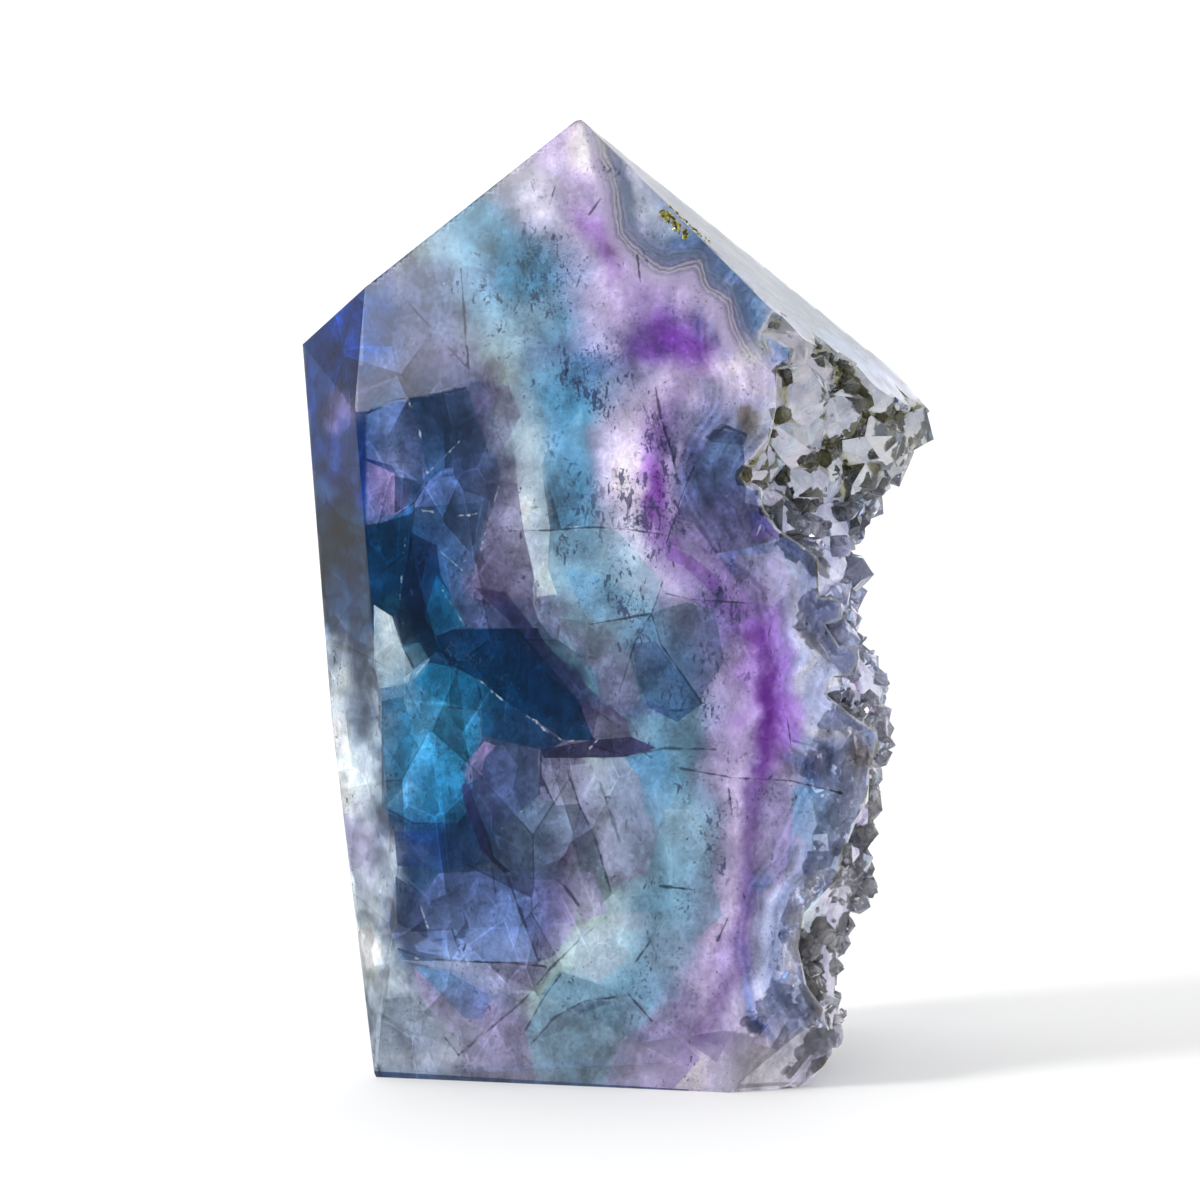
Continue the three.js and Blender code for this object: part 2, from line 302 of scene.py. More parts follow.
# Panes between straight breaks: name, tone at one end and at the other, direction of that change in degrees,
# strength, and the corners across and up
PANES = (
    ("slate block", "periwinkle", "slate", 20, 0.7,
     (-31, 80), (-26.2, 82.2), (-24.8, 78.5), (-23.7, 73), (-25.5, 70.5), (-28, 74), (-31, 74.8)),
    ("navy wedge", "navy", "dusk", 0, 0.85,
     (-26.2, 82.2), (-18.9, 83), (-16.4, 75.7), (-20, 74.6), (-23.7, 73), (-24.8, 78.5)),
    ("lilac wedge", "plum", "grey_lilac", 0, 0.6,
     (-18.9, 83), (-14, 83.5), (-12.5, 80), (-15.2, 75), (-16.4, 75.7)),
    ("pink splinter", "lilac", "plum", -60, 0.75,
     (-31, 74.5), (-27.6, 73), (-27.2, 68.5), (-28.7, 67.2), (-31, 66.8)),
    ("dark corner", "ink", "navy", 30, 0.8, (-27.6, 72.7), (-23.7, 72), (-25.2, 69.6), (-27.6, 68.3)),
    ("teal sheet", "teal", "deep_teal", -70, 0.85,
     (-31, 66.8), (-28.7, 67.2), (-25.2, 69.6), (-26.8, 57), (-27.5, 56), (-31, 57.5)),
    ("blue gleam", "slate_blue", "dusk", 0, 0.65,
     (-24.3, 71.5), (-20, 75), (-15.3, 74.8), (-15, 72.2), (-16.2, 69.8), (-25, 69)),
    ("navy sheet", "navy", "dusk", -30, 0.75,
     (-25.2, 69), (-16.2, 69.8), (-18.3, 60.6), (-21.5, 61.5), (-25.6, 65.5)),
    ("dark gorge", "ink", "deep_teal", -60, 0.85,
     (-25.6, 66), (-22.5, 64.5), (-22, 61), (-20.5, 58), (-20.3, 55), (-24.5, 52.7), (-26.5, 52.3),
     (-27.4, 56), (-26.8, 57.5)),
    ("teal feather", "teal", "cyan", -40, 0.65,
     (-22.5, 61), (-20, 57.5), (-19, 55), (-22.5, 53.8), (-24, 56)),
    ("slate sliver", "slate", "plum", -20, 0.7, (-21.5, 62), (-18.2, 60.8), (-18.8, 55), (-20.6, 57.5)),
    ("plum fold", "grey_lilac", "plum", -90, 0.8,
     (-15, 72), (-12.9, 72), (-12, 66), (-10.8, 61), (-11, 58), (-10, 55), (-18.8, 54.8), (-18.2, 60.6)),
    ("white streak", "ice", "white_haze", -80, 0.5,
     (-13.8, 79.5), (-10.2, 79), (-9.9, 73), (-8.9, 66.5), (-9.2, 62), (-8, 58.8), (-10.4, 58.5),
     (-11.2, 63), (-12.4, 68), (-13, 74)),
    ("sky streak", "sky", "pale_blue", 40, 0.75,
     (-9.8, 74.8), (-5.2, 81), (-4.4, 74), (-5.5, 68), (-7.5, 66.5), (-9, 71.5)),
    ("teal flag", "pale_blue", "ice", 20, 0.6,
     (-9, 66.3), (-4, 66.8), (-1, 66.5), (4.5, 60.4), (3.4, 56.7), (-3, 55.5), (-5.6, 58), (-8.5, 63)),
    ("teal flag foot", "sky", "pale_blue", -20, 0.5,
     (-7, 62), (-3, 61), (3.2, 57.5), (-3, 55.5), (-5.6, 58)),
    ("slate sail", "slate", "plum", -50, 0.85,
     (8.7, 75), (10.5, 78.5), (14, 78), (14.5, 72), (14.3, 69.8), (20, 68.5), (21, 66.5), (15, 64.5),
     (9, 63.4), (5, 65)),
    ("blue eye", "steel", "slate", -80, 0.7,
     (10.5, 77.4), (13.7, 77.2), (14.3, 71.5), (12, 70), (8, 70), (8.8, 74.5)),
    ("dark brow", "ink", "dusk", 0, 0.55,
     (9.5, 77.5), (11.5, 79.2), (14.6, 78), (14.2, 76.6), (10.5, 76.9)),
    ("pale ray", "grey_lilac", "lilac", -50, 0.75,
     (5.6, 68), (8.2, 67.4), (15.2, 58), (12.6, 57.8), (10, 60.6), (5, 66)),
    ("indigo sliver", "indigo", "violet", -60, 0.6, (14.6, 68.9), (17.8, 68.5), (18, 66), (15.5, 65.3)),
    ("purple ribbon", "purple", "violet", -40, 0.55,
     (4.9, 64.9), (8.2, 63.3), (11.2, 60.9), (12.4, 58.3), (11.3, 58), (9.6, 60), (7, 62.3), (5, 63)),
    ("purple knot", "violet", "purple", -50, 0.5,
     (10.6, 58), (14, 57.6), (17, 54.5), (16.4, 52.5), (13, 54.6)),
    ("lilac meadow", "grey_lilac", "pale_lilac", 20, 0.65,
     (12.8, 63.4), (18.5, 64), (20.5, 60), (17.8, 57.6), (15.2, 57.9)),
    ("grey teal facet", "grey_green", "slate", -40, 0.7,
     (3.5, 56.8), (7.5, 58), (10.8, 57.2), (12, 51), (9, 46.5), (4.2, 53)),
    ("blue hollow", "dusk", "navy", -60, 0.8,
     (1, 53), (3.8, 53.4), (9.4, 46), (6.4, 43.8), (3, 45.5), (1.6, 49)),
    ("green patch", "grey_green", "grey_lilac", -40, 0.6,
     (-8, 56), (-3, 55.4), (0.6, 52), (2, 46.5), (-1, 43.8), (-4.5, 50)),
    ("chip", "white_haze", "ice", -60, 0.95,
     (-30, 57.4), (-27.8, 56), (-26.7, 52.5), (-25.2, 50), (-26, 47.8), (-29.2, 47.5), (-30, 50)),
    ("chip shade", "cyan", "pale_blue", -60, 0.7,
     (-26.7, 52.5), (-24.5, 53), (-23.3, 51), (-24, 49.3), (-25.6, 48.4), (-25.2, 50)),
    ("deep basin", "deep_teal", "deep_teal", 0, 0.95,
     (-24, 52.8), (-20.5, 54.6), (-10.4, 54.8), (-8.6, 51), (-5, 47.5), (-3.5, 45), (-3.4, 41.6),
     (-7, 41.5), (-10, 43.5), (-13, 45.2), (-16.5, 48), (-20, 50)),
    ("teal slope", "cyan", "teal", 0, 0.8,
     (-25.3, 48.4), (-23.4, 50.6), (-20, 50), (-16.5, 48), (-13, 45.2), (-17, 45.2), (-20, 45.3),
     (-23, 46.5)),
    ("blue shelf", "teal", "deep_teal", 0, 0.9,
     (-17, 45.2), (-13, 45.2), (-7.2, 41.4), (-9, 40.2), (-15, 41.5), (-16.8, 42)),
    ("plum spine", "deep_violet", "plum", -40, 0.8,
     (-18, 59.6), (-14.2, 59), (-9, 52.6), (-4, 47.6), (0.4, 44), (1, 41.8), (-3.6, 41.8), (-5.4, 46.2),
     (-9, 50.4), (-12.6, 54.6)),
    ("cyan block", "sky", "cyan", -30, 0.6,
     (-29, 47.5), (-25.2, 48.3), (-22.5, 46.3), (-17.4, 45), (-16.8, 41.8), (-18.5, 38.5), (-19.2, 35.5),
     (-18.6, 33), (-20, 31.5), (-25, 31.5), (-29, 33)),
    ("cyan edge", "teal", "cyan", 0, 0.6, (-29, 46), (-26.5, 46.5), (-25, 42), (-26, 36), (-29, 33)),
    ("dusk panel", "slate", "dusk", 10, 0.85,
     (-16.6, 39.5), (-15.2, 40.9), (-10.2, 40.2), (-10, 35), (-14.5, 31), (-16.2, 30.8), (-17.4, 33),
     (-18.3, 36), (-17, 37)),
    ("grey facet", "dusk", "grey_green", 20, 0.75,
     (-10, 35), (-14.5, 31), (-15.5, 29), (-13.5, 26), (-10.5, 26), (-6, 29.5), (-5, 33.4), (-8.5, 34)),
    ("rose vein", "lilac", "plum", -80, 0.8,
     (-18.8, 38.8), (-16.6, 41.3), (-15.2, 40.8), (-16.6, 39.4), (-17, 37), (-18.5, 36.2), (-19, 37.2)),
    ("dark vein", "deep_violet", "ink", -60, 0.8,
     (-19.3, 36.2), (-18.4, 36.2), (-17.4, 33.2), (-16, 30), (-15.4, 27.6), (-13.4, 25.9), (-14.2, 25.7),
     (-17, 28.5), (-18, 31.2), (-19.1, 34)),
    ("grey block", "grey_lilac", "haze", -60, 0.75,
     (-9.8, 38.6), (-6.5, 38.6), (-5.9, 36), (-5.4, 34), (-8, 33.8), (-9, 36)),
    ("ink band", "ink", "deep_violet", 10, 0.9,
     (-9.9, 40.4), (-3.5, 41.6), (1, 42), (4, 40.7), (0, 39.6), (-9.5, 39.4)),
    ("pale plain", "haze", "grey_lilac", -70, 0.7,
     (-6.4, 38.5), (0, 39.6), (2.4, 37), (4.4, 31), (3, 26), (-1.3, 24), (-3, 30), (-5.2, 34)),
    ("shadow wedge", "dusk", "grey_green", -70, 0.7,
     (-5.2, 34), (-3.3, 30), (-1.2, 23.4), (-2.5, 22), (-5, 26), (-6, 29.5)),
    ("blue pool", "sky", "pale_blue", -70, 0.7,
     (0.3, 39.6), (5, 40.4), (6.2, 36), (4.5, 31), (2.6, 33), (2, 37)),
    ("white pool", "ice", "pale_blue", -60, 0.6,
     (5, 33.5), (9, 33.5), (10.6, 26), (12, 21), (8, 17.5), (6, 20), (5.4, 26)),
    ("indigo blot", "indigo", "navy", 0, 0.65,
     (-27.4, 30.5), (-22, 30.5), (-19, 28.5), (-15.5, 27), (-20, 26.2), (-27, 26.4)),
    ("periwinkle block", "slate_blue", "periwinkle", -90, 0.85,
     (-22, 25.6), (-15, 26), (-13.6, 24.6), (-10, 15.2), (-19, 15.2), (-24.6, 16.2), (-26, 20)),
    ("periwinkle dome", "slate_blue", "lilac", 10, 0.6,
     (-13.4, 24.9), (-8, 25), (-5.2, 22.5), (-5.5, 20), (-8, 16), (-10, 15.2)),
    ("violet edge", "dusk", "slate", 0, 0.75,
     (-27.2, 25.2), (-24.8, 23.6), (-23.2, 18), (-26, 16.4), (-27, 20)),
    ("lilac neck", "grey_lilac", "lilac", -60, 0.6,
     (-8, 25.3), (-3.5, 26), (-1.7, 21.2), (-5, 20), (-5.2, 22.5)),
    ("white chips", "milk", "haze", 0, 0.5, (-2, 20.9), (3.6, 21.4), (3, 18.8), (-0.4, 19.2)),
    ("feather", "mist_blue", "milk", -70, 0.35,
     (-5, 19.4), (-1.5, 19.8), (0.4, 15.5), (-3, 12.8), (-6, 15)),
    ("haze band", "haze", "grey_lilac", 0, 0.65,
     (-27, 15), (-10, 15), (-8.6, 14.4), (-12, 11.2), (-16, 11.4), (-20, 13.9)),
    ("foot blue", "sky", "slate_blue", -30, 0.7,
     (-25, 14.4), (-20.5, 13.5), (-15.4, 10.8), (-17, 7.8), (-19, 8), (-22, 11)),
    ("foot rose", "lilac", "haze", -40, 0.65,
     (-25, 14.2), (-22, 11), (-19, 8), (-16, 6.4), (-18, 5), (-21.5, 6.5), (-24.5, 11)),
    ("foot grey", "grey_green", "haze", -40, 0.6,
     (-29, 10), (-24.6, 10.6), (-21, 6), (-19.6, 3.6), (-22, 0), (-30, 0)),
    ("plum sail", "grey_lilac", "plum", -40, 0.7,
     (-14, 9.2), (-12.4, 9), (-11, 4), (-10.3, 0), (-18, 0), (-19.6, 3.8)),
    ("teal fan", "pale_blue", "grey_green", -50, 0.75,
     (-11.6, 6.5), (-9.5, 11.5), (-7.5, 14.2), (-3, 12.8), (3.4, 10), (0, 6), (-4, 0), (-10.3, 0)),
    ("fan shade", "grey_green", "dusk", -20, 0.6,
     (-11.2, 5.2), (-8, 8.8), (-4.4, 10.8), (-1, 10.6), (-4.6, 9.3), (-7.4, 6.8)),
    ("foot violet", "grey_lilac", "lilac", -20, 0.6, (-0.6, 5.6), (4, 9), (9.4, 4), (6, 0), (-2, 0)),
    ("foot lilac", "grey_lilac", "lilac", 30, 0.5, (3, 9.4), (9, 12), (14, 9), (11.4, 3.6)),
    ("pale panel", "grey_lilac", "lilac", -20, 0.6,
     (15.6, 37), (19.8, 36.6), (20, 30), (19, 24), (15.6, 27.6)),
    ("blue lens", "sky", "haze", -20, 0.6, (20.4, 36.2), (25.2, 36), (26, 32), (23, 28.6), (20.3, 31)),
    ("slate foot", "haze", "mist_blue", 60, 0.5, (16, 9.5), (19, 6), (23, 9.8), (22.5, 13), (18, 13)),
    ("toe", "sand", "haze", 60, 0.75, (13.6, 0), (14, 1.4), (23.7, 9.6), (30, 9), (30, 0)),
    # Painted shade: a dark strip along the bottom of the front, where the stone meets the floor.
    ("heel line", "navy", "slate", 0, 0.9, (-32, -0.5), (-32, 0.8), (8, 0.2), (8, -0.5)),
)

# Thin dark cracks, and thin bright lines that are painted glints of light off cracks: strength and points
# across and up
CRACKS = (
    (0.7, (-13.5, 66.3), (-8.5, 66.4), (-4, 66.8), (0, 66.6), (4.5, 66)),
    (0.6, (-31, 80.1), (-28.6, 81.6), (-25, 82.2), (-19, 83.2)),
    (0.8, (-4, 55.3), (3.3, 56.6), (4.6, 60.4)),
    (0.6, (0.4, 57.6), (1.4, 60.2)),
    (0.6, (3.3, 56.6), (4.4, 53), (9.4, 46)),
    (0.5, (3.3, 56.6), (1.4, 53.4), (-0.6, 47)),
    (0.7, (3.6, 83.4), (4.2, 80), (5.6, 75.6), (6.4, 72)),
    (0.6, (8.8, 75.4), (6.6, 70), (5, 64.9)),
    (0.8, (10, 77.4), (12, 78.8), (14.4, 77.8)),
    (0.6, (5, 59), (8, 58.3), (15.6, 57.9)),
    (0.5, (17.8, 56.6), (17.2, 54), (17.6, 52)),
    (0.8, (-9.8, 40.2), (-10, 35.1)),
    (0.7, (-9.9, 37.4), (-8.2, 33.9)),
    (0.9, (-6.6, 37.8), (-5.2, 33.8), (-3.3, 30), (-1.3, 23.5)),
    (0.8, (1.5, 42.8), (2.3, 40.3), (3.6, 39.4)),
    (0.9, (-9, 39.6), (0, 39.7), (5, 40.7), (11, 40.6)),
    (0.8, (6.6, 38.4), (13, 37.3), (20, 37), (26, 35.6)),
    (0.9, (12.6, 36), (13.2, 32)),
    (0.7, (-16.6, 30), (-15.6, 26.5), (-15.2, 23.4)),
    (0.8, (-13.7, 25.2), (-12, 20.6), (-10, 15.4)),
    (0.6, (-20.6, 19.6), (-19.6, 16.6), (-18.6, 14.6)),
    (0.7, (-27, 16.4), (-23.5, 15.3), (-15, 15.1), (-9, 14.7)),
    (0.8, (-7, 24.4), (-5.2, 22)),
    (0.9, (-1.6, 20.9), (-5, 18), (-8.5, 14.5), (-12, 10.3), (-15, 7.6), (-19.8, 3.3)),
    (0.6, (-19.8, 3.3), (-21.6, 5.6)),
    (0.7, (-11, 5), (-8, 8.6), (-4.4, 10.7), (-0.5, 11.2)),
    (0.6, (-11.6, 6.8), (-9.2, 11.2), (-7.3, 13.8)),
    (0.8, (0.6, 11.8), (3.6, 8.4)),
    (0.8, (1.5, 15.2), (3.2, 17.6)),
    (0.8, (11.4, 18), (13, 21.6)),
    (0.6, (4.4, 24.4), (8.6, 24)),
    (0.5, (19.4, 45.4), (20, 41)),
    (0.8, (-5.2, 109.9), (-2, 110.5)),
    (0.7, (-4.6, 103.8), (-3, 106)),
    (0.7, (1.2, 99), (1.7, 95.6)),
    (0.6, (-9.4, 105), (-8.4, 108.4)),
    (0.6, (-20, 97.4), (-19.3, 90), (-18.8, 85.4)),
    (0.4, (-27.4, 94.4), (-19, 85.6)),
    (0.8, (-27.4, 56), (-26.5, 52.4), (-25.2, 50)),
    (0.7, (-25.6, 66), (-25.2, 69.6), (-23.7, 72)),
    (0.6, (-31, 66.8), (-28.7, 67.2), (-25.2, 69.6)),
    (0.6, (-12.4, 53.6), (-9.4, 50), (-5, 46)),
    (0.5, (-21, 45.3), (-17.4, 45), (-16.8, 41.8)),
    (0.5, (-28, 33), (-25, 31.5), (-20, 31.6)),
)
GLINTS = (
    (0.9, (-19.6, 49.6), (-16.5, 48), (-14.5, 46.2), (-12.5, 45), (-10.4, 43.6), (-9, 42.4), (-7.2, 41.4),
     (-5.8, 41.4)),
    (0.6, (-4.2, 40.4), (-3, 41.7)),
    (0.6, (-26.2, 82.2), (-24.7, 78.5), (-23.7, 73), (-19.7, 77)),
    (0.6, (-25, 68.8), (-20, 68), (-17.4, 68.3)),
    (0.9, (-7.6, 66.7), (-4.4, 67)),
    (0.6, (-26.2, 66), (-26.9, 58)),
    (0.6, (-23.9, 65.3), (-18.9, 61.2)),
    (0.5, (-21.8, 59.2), (-19.2, 55.2)),
    (0.6, (-15, 72), (-18.2, 60.6)),
    (0.6, (-25.6, 48.4), (-23.3, 51)),
    (0.5, (-25, 24), (-23.2, 19)),
    (0.6, (-26.6, 15.8), (-24.2, 15.2)),
    (0.5, (7.6, 58), (8.8, 57.6)),
    (0.5, (12, 70.5), (12.8, 71)),
    (0.6, (15.6, 65.6), (16.8, 68.4)),
    (0.4, (-14.4, 31), (-10, 35)),
    (0.5, (-22, 95.6), (-20.4, 96.4)),
)
PANE_SQUARE = 4 * MM

# Where dark flecks gather: across, up, half-width, half-height and strength
FLECKS = (
    (2.5, 72, 5, 13, 1.0),
    (-1, 62, 6, 7, 0.8),
    (-6.8, 67, 2.6, 6, 1.1),
    (-4, 84, 7, 5, 1.0),
    (-12, 95, 9, 9, 0.8),
    (-16, 56, 8, 10, 0.4),
    (11, 57, 5, 6, 0.8),
    (9, 46, 6, 8, 0.65),
    (-20, 40, 7, 8, 0.35),
    (10, 30, 5, 12, 0.45),
    (4, 12, 8, 8, 0.35),
)


def smooth(values, low, high):
    """Rises from 0 at low to 1 at high, level at both ends."""
    share = np.clip((values - low) / (high - low), 0, 1)
    return share * share * (3 - 2 * share)


def value_noise(points, size, seed):
    """Smooth noise from -1 to 1: random numbers at the points of a lattice, blended between eight of them."""
    cell = points / size
    corner = np.floor(cell).astype(np.int64)
    share = cell - corner
    share = share * share * (3 - 2 * share)
    total = np.zeros(len(points))
    for step in np.ndindex(2, 2, 2):
        near = corner + np.array(step)
        mixed = near[:, 0] * 374761393 + near[:, 1] * 668265263 + near[:, 2] * 2147483647 + seed * 974634777
        mixed = (mixed ^ (mixed >> 13)) * 1274126177
        mixed = (mixed ^ (mixed >> 16)) & 0xFFFFFF
        weight = np.prod(np.where(np.array(step) == 1, share, 1 - share), axis=1)
        total += weight * (mixed / 0x7FFFFF - 1)
    return total


def cloudy(points, size, seed, octaves=4, share=0.6):
    """Cloudy noise: value noise summed over sizes that halve, each a share of the one before."""
    return sum(value_noise(points, size / 2 ** i, seed + 17 * i) * share ** i for i in range(octaves))


def nearest_distance(points, targets, batch=1500):
    """How far each point is from the nearest of the targets."""
    found = np.empty(len(points))
    for start in range(0, len(points), batch):
        part = points[start:start + batch]
        square = (part ** 2).sum(1)[:, None] + (targets ** 2).sum(1)[None] - 2 * part @ targets.T
        found[start:start + batch] = np.sqrt(np.maximum(square.min(1), 0))
    return found


def line_distance(points, line):
    """How far each point is from a bent line, above zero on its left: the least distance to its stretches."""
    line = np.array(line, float)
    found = np.full(len(points), np.inf)
    for start, end in zip(line[:-1], line[1:]):
        along = end - start
        reach = points - start
        share = np.clip(reach @ along / (along @ along), 0, 1)
        distance = np.linalg.norm(reach - share[:, None] * along, axis=1)
        side = np.where(along[0] * reach[:, 1] - along[1] * reach[:, 0] < 0, 1, -1)
        found = np.where(distance < abs(found), side * distance, found)
    return found


def new_piece(name, mesh, slot, *materials):
    """An object at the origin that rides on the stone's body, with the given materials. The slot is not used.
    """
    piece = bpy.data.objects.new(name, mesh)
    bpy.context.scene.collection.objects.link(piece)
    for material in materials:
        mesh.materials.append(material)
    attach(piece, BODY)
    return piece


def keep_values(mesh, name, values, domain="POINT"):
    """Keeps one number for each point or face corner of a mesh."""
    attribute = mesh.attributes.new(name, "FLOAT", domain)
    attribute.data.foreach_set("value", np.asarray(values, np.float32))


def keep_colours(mesh, name, colours):
    """Keeps one colour for each face corner of a mesh."""
    attribute = mesh.attributes.new(name, "FLOAT_COLOR", "CORNER")
    full = np.ones((len(colours), 4), np.float32)
    full[:, :3] = colours
    attribute.data.foreach_set("color", full.ravel())


# Stone


def merged_stone():
    """The CAD solid as a mesh whose triangles share their corners."""
    stone = bmesh.new()
    stone.from_mesh(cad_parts[NODE].data)
    bmesh.ops.remove_doubles(stone, verts=stone.verts, dist=1e-7)
    stone.normal_update()
    stone.faces.ensure_lookup_table()
    return stone


def facet_numbers(stone):
    """Numbers the ground facets. A facet is all faces in one plane, and larger than any crystal's face."""
    normals = np.array([face.normal for face in stone.faces])
    offsets = np.array([face.normal.dot(face.verts[0].co) for face in stone.faces])
    areas = np.array([face.calc_area() for face in stone.faces])
    numbers = np.full(len(areas), -1)
    planes = []
    for largest in np.argsort(-areas):
        if areas[largest] < FACET_SEED_AREA:
            break
        if numbers[largest] >= 0:
            continue
        level = (normals @ normals[largest] > 0.99999) & (abs(offsets - offsets[largest]) < 0.02 * MM)
        level &= numbers < 0
        if areas[level].sum() > FACET_AREA:
            numbers[level] = len(planes)
            planes.append((normals[largest], offsets[largest]))
    corners = np.array([[corner.co for corner in face.verts] for face in stone.faces])
    for number, (normal, offset) in enumerate(planes):
        level = (abs(corners @ normal - offset) < 0.02 * MM).all(1)
        numbers[level & (numbers < 0)] = number
    return numbers, planes


def round_edges(stone):
    """Rounds the polished edges by a small bevel, except where two facets meet at a very flat angle."""
    edges = [
        edge for edge in stone.edges
        if len(edge.link_faces) == 2
        and all(face.material_index == 0 for face in edge.link_faces)
        and edge.calc_face_angle() > SOFT_EDGE
    ]
    bmesh.ops.bevel(stone, geom=edges, offset=EDGE_ROUND, offset_type="OFFSET", segments=EDGE_STEPS,
                    profile=0.5, affect="EDGES", clamp_overlap=True)


def cut_along(stone, faces, centre, normal):
    """Cuts faces along a plane and gives back the faces on both sides."""
    parts = dict.fromkeys(part for face in faces for part in (*face.verts, *face.edges))
    cut = bmesh.ops.bisect_plane(stone, geom=[*parts, *faces], dist=1e-7, plane_co=centre, plane_no=normal)
    return [part for part in cut["geom"] if isinstance(part, bmesh.types.BMFace)]


def straight_lines():
    """The straight lines where a tone may change sharply: sides of the panes and stretches of the cracks."""
    rings = [(*corners, corners[0]) for _, _, _, _, _, *corners in PANES]
    rows = rings + [corners for _, *corners in CRACKS + GLINTS]
    return [line for row in rows for line in zip(row[:-1], row[1:])]


def square_of(place):
    """The square of a coarse grid that a place lies in, across and up."""
    return tuple(int((place[axis] - cad_box[0][axis]) // PANE_SQUARE) for axis in (0, 2))


def cut_lines(stone, faces):
    """Cuts the front along the straight lines. Each cuts only the squares of a coarse grid on its way."""
    squares = {}
    for face in faces:
        squares.setdefault(square_of(face.calc_center_median()), []).append(face)
    for start, end in straight_lines():
        reach = np.subtract(end, start)
        normal = (reach[1], -LINE_LEAN * reach[1], -reach[0]) / np.hypot(*reach)
        first = np.array([start[0], LINE_FRONT, start[1]]) * MM
        shares = np.linspace(0, 1, 2 + int(np.hypot(*reach) * MM / PANE_SQUARE * 5))
        crossed = [square_of(first + share * MM * np.array([reach[0], 0, reach[1]])) for share in shares]
        near = [face for square in dict.fromkeys(crossed) for face in squares.pop(square, [])]
        for face in cut_along(stone, near, first, normal):
            squares.setdefault(square_of(face.calc_center_median()), []).append(face)
    return [face for row in squares.values() for face in row]


def cut_grid(stone, faces, axes, step):
    """Cuts faces along evenly spaced planes across each axis. What lies past a plane goes on to the next."""
    for axis in axes:
        normal = np.eye(3)[axis]
        done = []
        for place in np.arange(cad_box[0][axis] + step, cad_box[1][axis], step):
            faces = cut_along(stone, faces, normal * place, normal)
            done += [face for face in faces if face.calc_center_median()[axis] < place]
            faces = [face for face in faces if face.calc_center_median()[axis] >= place]
            if not faces:
                break
        faces = done + faces
    return faces


def split_rough(stone):
    """Splits the longer edges of the rough faces, which gives the chips their smaller breaks."""
    for _ in range(2):
        edges = [
            edge for edge in stone.edges
            if all(face.material_index == 1 for face in edge.link_faces) and edge.calc_length() > CHIP_EDGE
        ]
        bmesh.ops.subdivide_edges(stone, edges=edges, cuts=1)
        bmesh.ops.triangulate(stone, faces=[face for face in stone.faces if face.material_index == 1])


def chip_rough(mesh):
    """Moves each inner point of the rough wall along its normal by noise of two sizes."""
    places = mesh_points(mesh)
    chips = value_noise(places, 1.6 * MM, 3) + 0.6 * value_noise(places, 0.7 * MM, 4)
    moved = places + point_normals(mesh) * (chips * CHIP_DEPTH * rough_points(mesh))[:, None]
    moved[:, 2] = np.maximum(moved[:, 2], 0)
    mesh.vertices.foreach_set("co", moved.astype(np.float32).ravel())
    mesh.update()


def mesh_points(mesh):
    """The places of a mesh's points."""
    places = np.empty(len(mesh.vertices) * 3, np.float32)
    mesh.vertices.foreach_get("co", places)
    return places.reshape(-1, 3).astype(float)


def face_layout(mesh):
    """The point of each face corner, the number of corners of each face, and each face's material."""
    corners = np.empty(len(mesh.loops), np.int32)
    mesh.loops.foreach_get("vertex_index", corners)
    sizes = np.empty(len(mesh.polygons), np.int32)
    mesh.polygons.foreach_get("loop_total", sizes)
    materials = np.empty(len(mesh.polygons), np.int32)
    mesh.polygons.foreach_get("material_index", materials)
    return corners, sizes, materials


def rough_points(mesh):
    """True for each point that touches only rough faces."""
    corners, sizes, materials = face_layout(mesh)
    rough = np.ones(len(mesh.vertices), bool)
    rough[corners[np.repeat(materials == 0, sizes)]] = False
    return rough


def wall_points(mesh, every=7):
    """Points of the rough wall: all along its border with the polish, and some of those between."""
    corners, sizes, materials = face_layout(mesh)
    touched = [np.zeros(len(mesh.vertices), bool) for _ in range(2)]
    for number in range(2):
        touched[number][corners[np.repeat(materials == number, sizes)]] = True
    places = mesh_points(mesh)
    return np.concatenate([places[touched[0] & touched[1]], places[touched[1]][::every]])


def front_view(places):
    """Places in millimetres, slid across by their depth, because the bands lean back into the stone."""
    seen = places / MM
    seen[:, 0] -= LINE_LEAN * (seen[:, 1] - LINE_FRONT)
    return seen


def band_tints(distance, bands):
    """Tones blended in a row along a distance."""
    stops = [at for at, _ in bands]
    return np.stack([np.interp(distance, stops, [TONES[tone][i] for _, tone in bands]) for i in range(3)], 1)


def blend(one, other, share):
    """One colour going over into another by a share."""
    return one + (np.asarray(other) - one) * share[:, None]


def egg(points, across, up, wide, high, turn=0.0):
    """Distance from the middle of a turned egg shape, 1 on its edge."""
    turn = math.radians(turn)
    reach = points - (across, up)
    one = reach[:, 0] * math.cos(turn) + reach[:, 1] * math.sin(turn)
    other = reach[:, 1] * math.cos(turn) - reach[:, 0] * math.sin(turn)
    return np.hypot(one / wide, other / high)


def inside_outline(flat, corners):
    """True inside a closed outline: a level line to the right of such a point crosses it an odd number of
    times."""
    odd = np.zeros(len(flat), bool)
    for start, end in zip(corners, (*corners[1:], corners[0])):
        if start[1] != end[1]:
            crossing = start[0] + (flat[:, 1] - start[1]) * (end[0] - start[0]) / (end[1] - start[1])
            odd ^= ((start[1] > flat[:, 1]) != (end[1] > flat[:, 1])) & (flat[:, 0] < crossing)
    return odd


def pane_tints(flat, tint):
    """Lays the panes over the colours. A pane's tone changes evenly from one end to the other."""
    for _, first, last, turn, strength, *corners in PANES:
        inside = inside_outline(flat, corners)
        way = np.array([math.cos(math.radians(turn)), math.sin(math.radians(turn))])
        ends = np.array(corners) @ way
        share = np.clip((flat[inside] @ way - ends.min()) / np.ptp(ends), 0, 1)
        tone = blend(np.array(TONES[first]), TONES[last], share)
        tint[inside] += strength * (tone - tint[inside])
    return tint


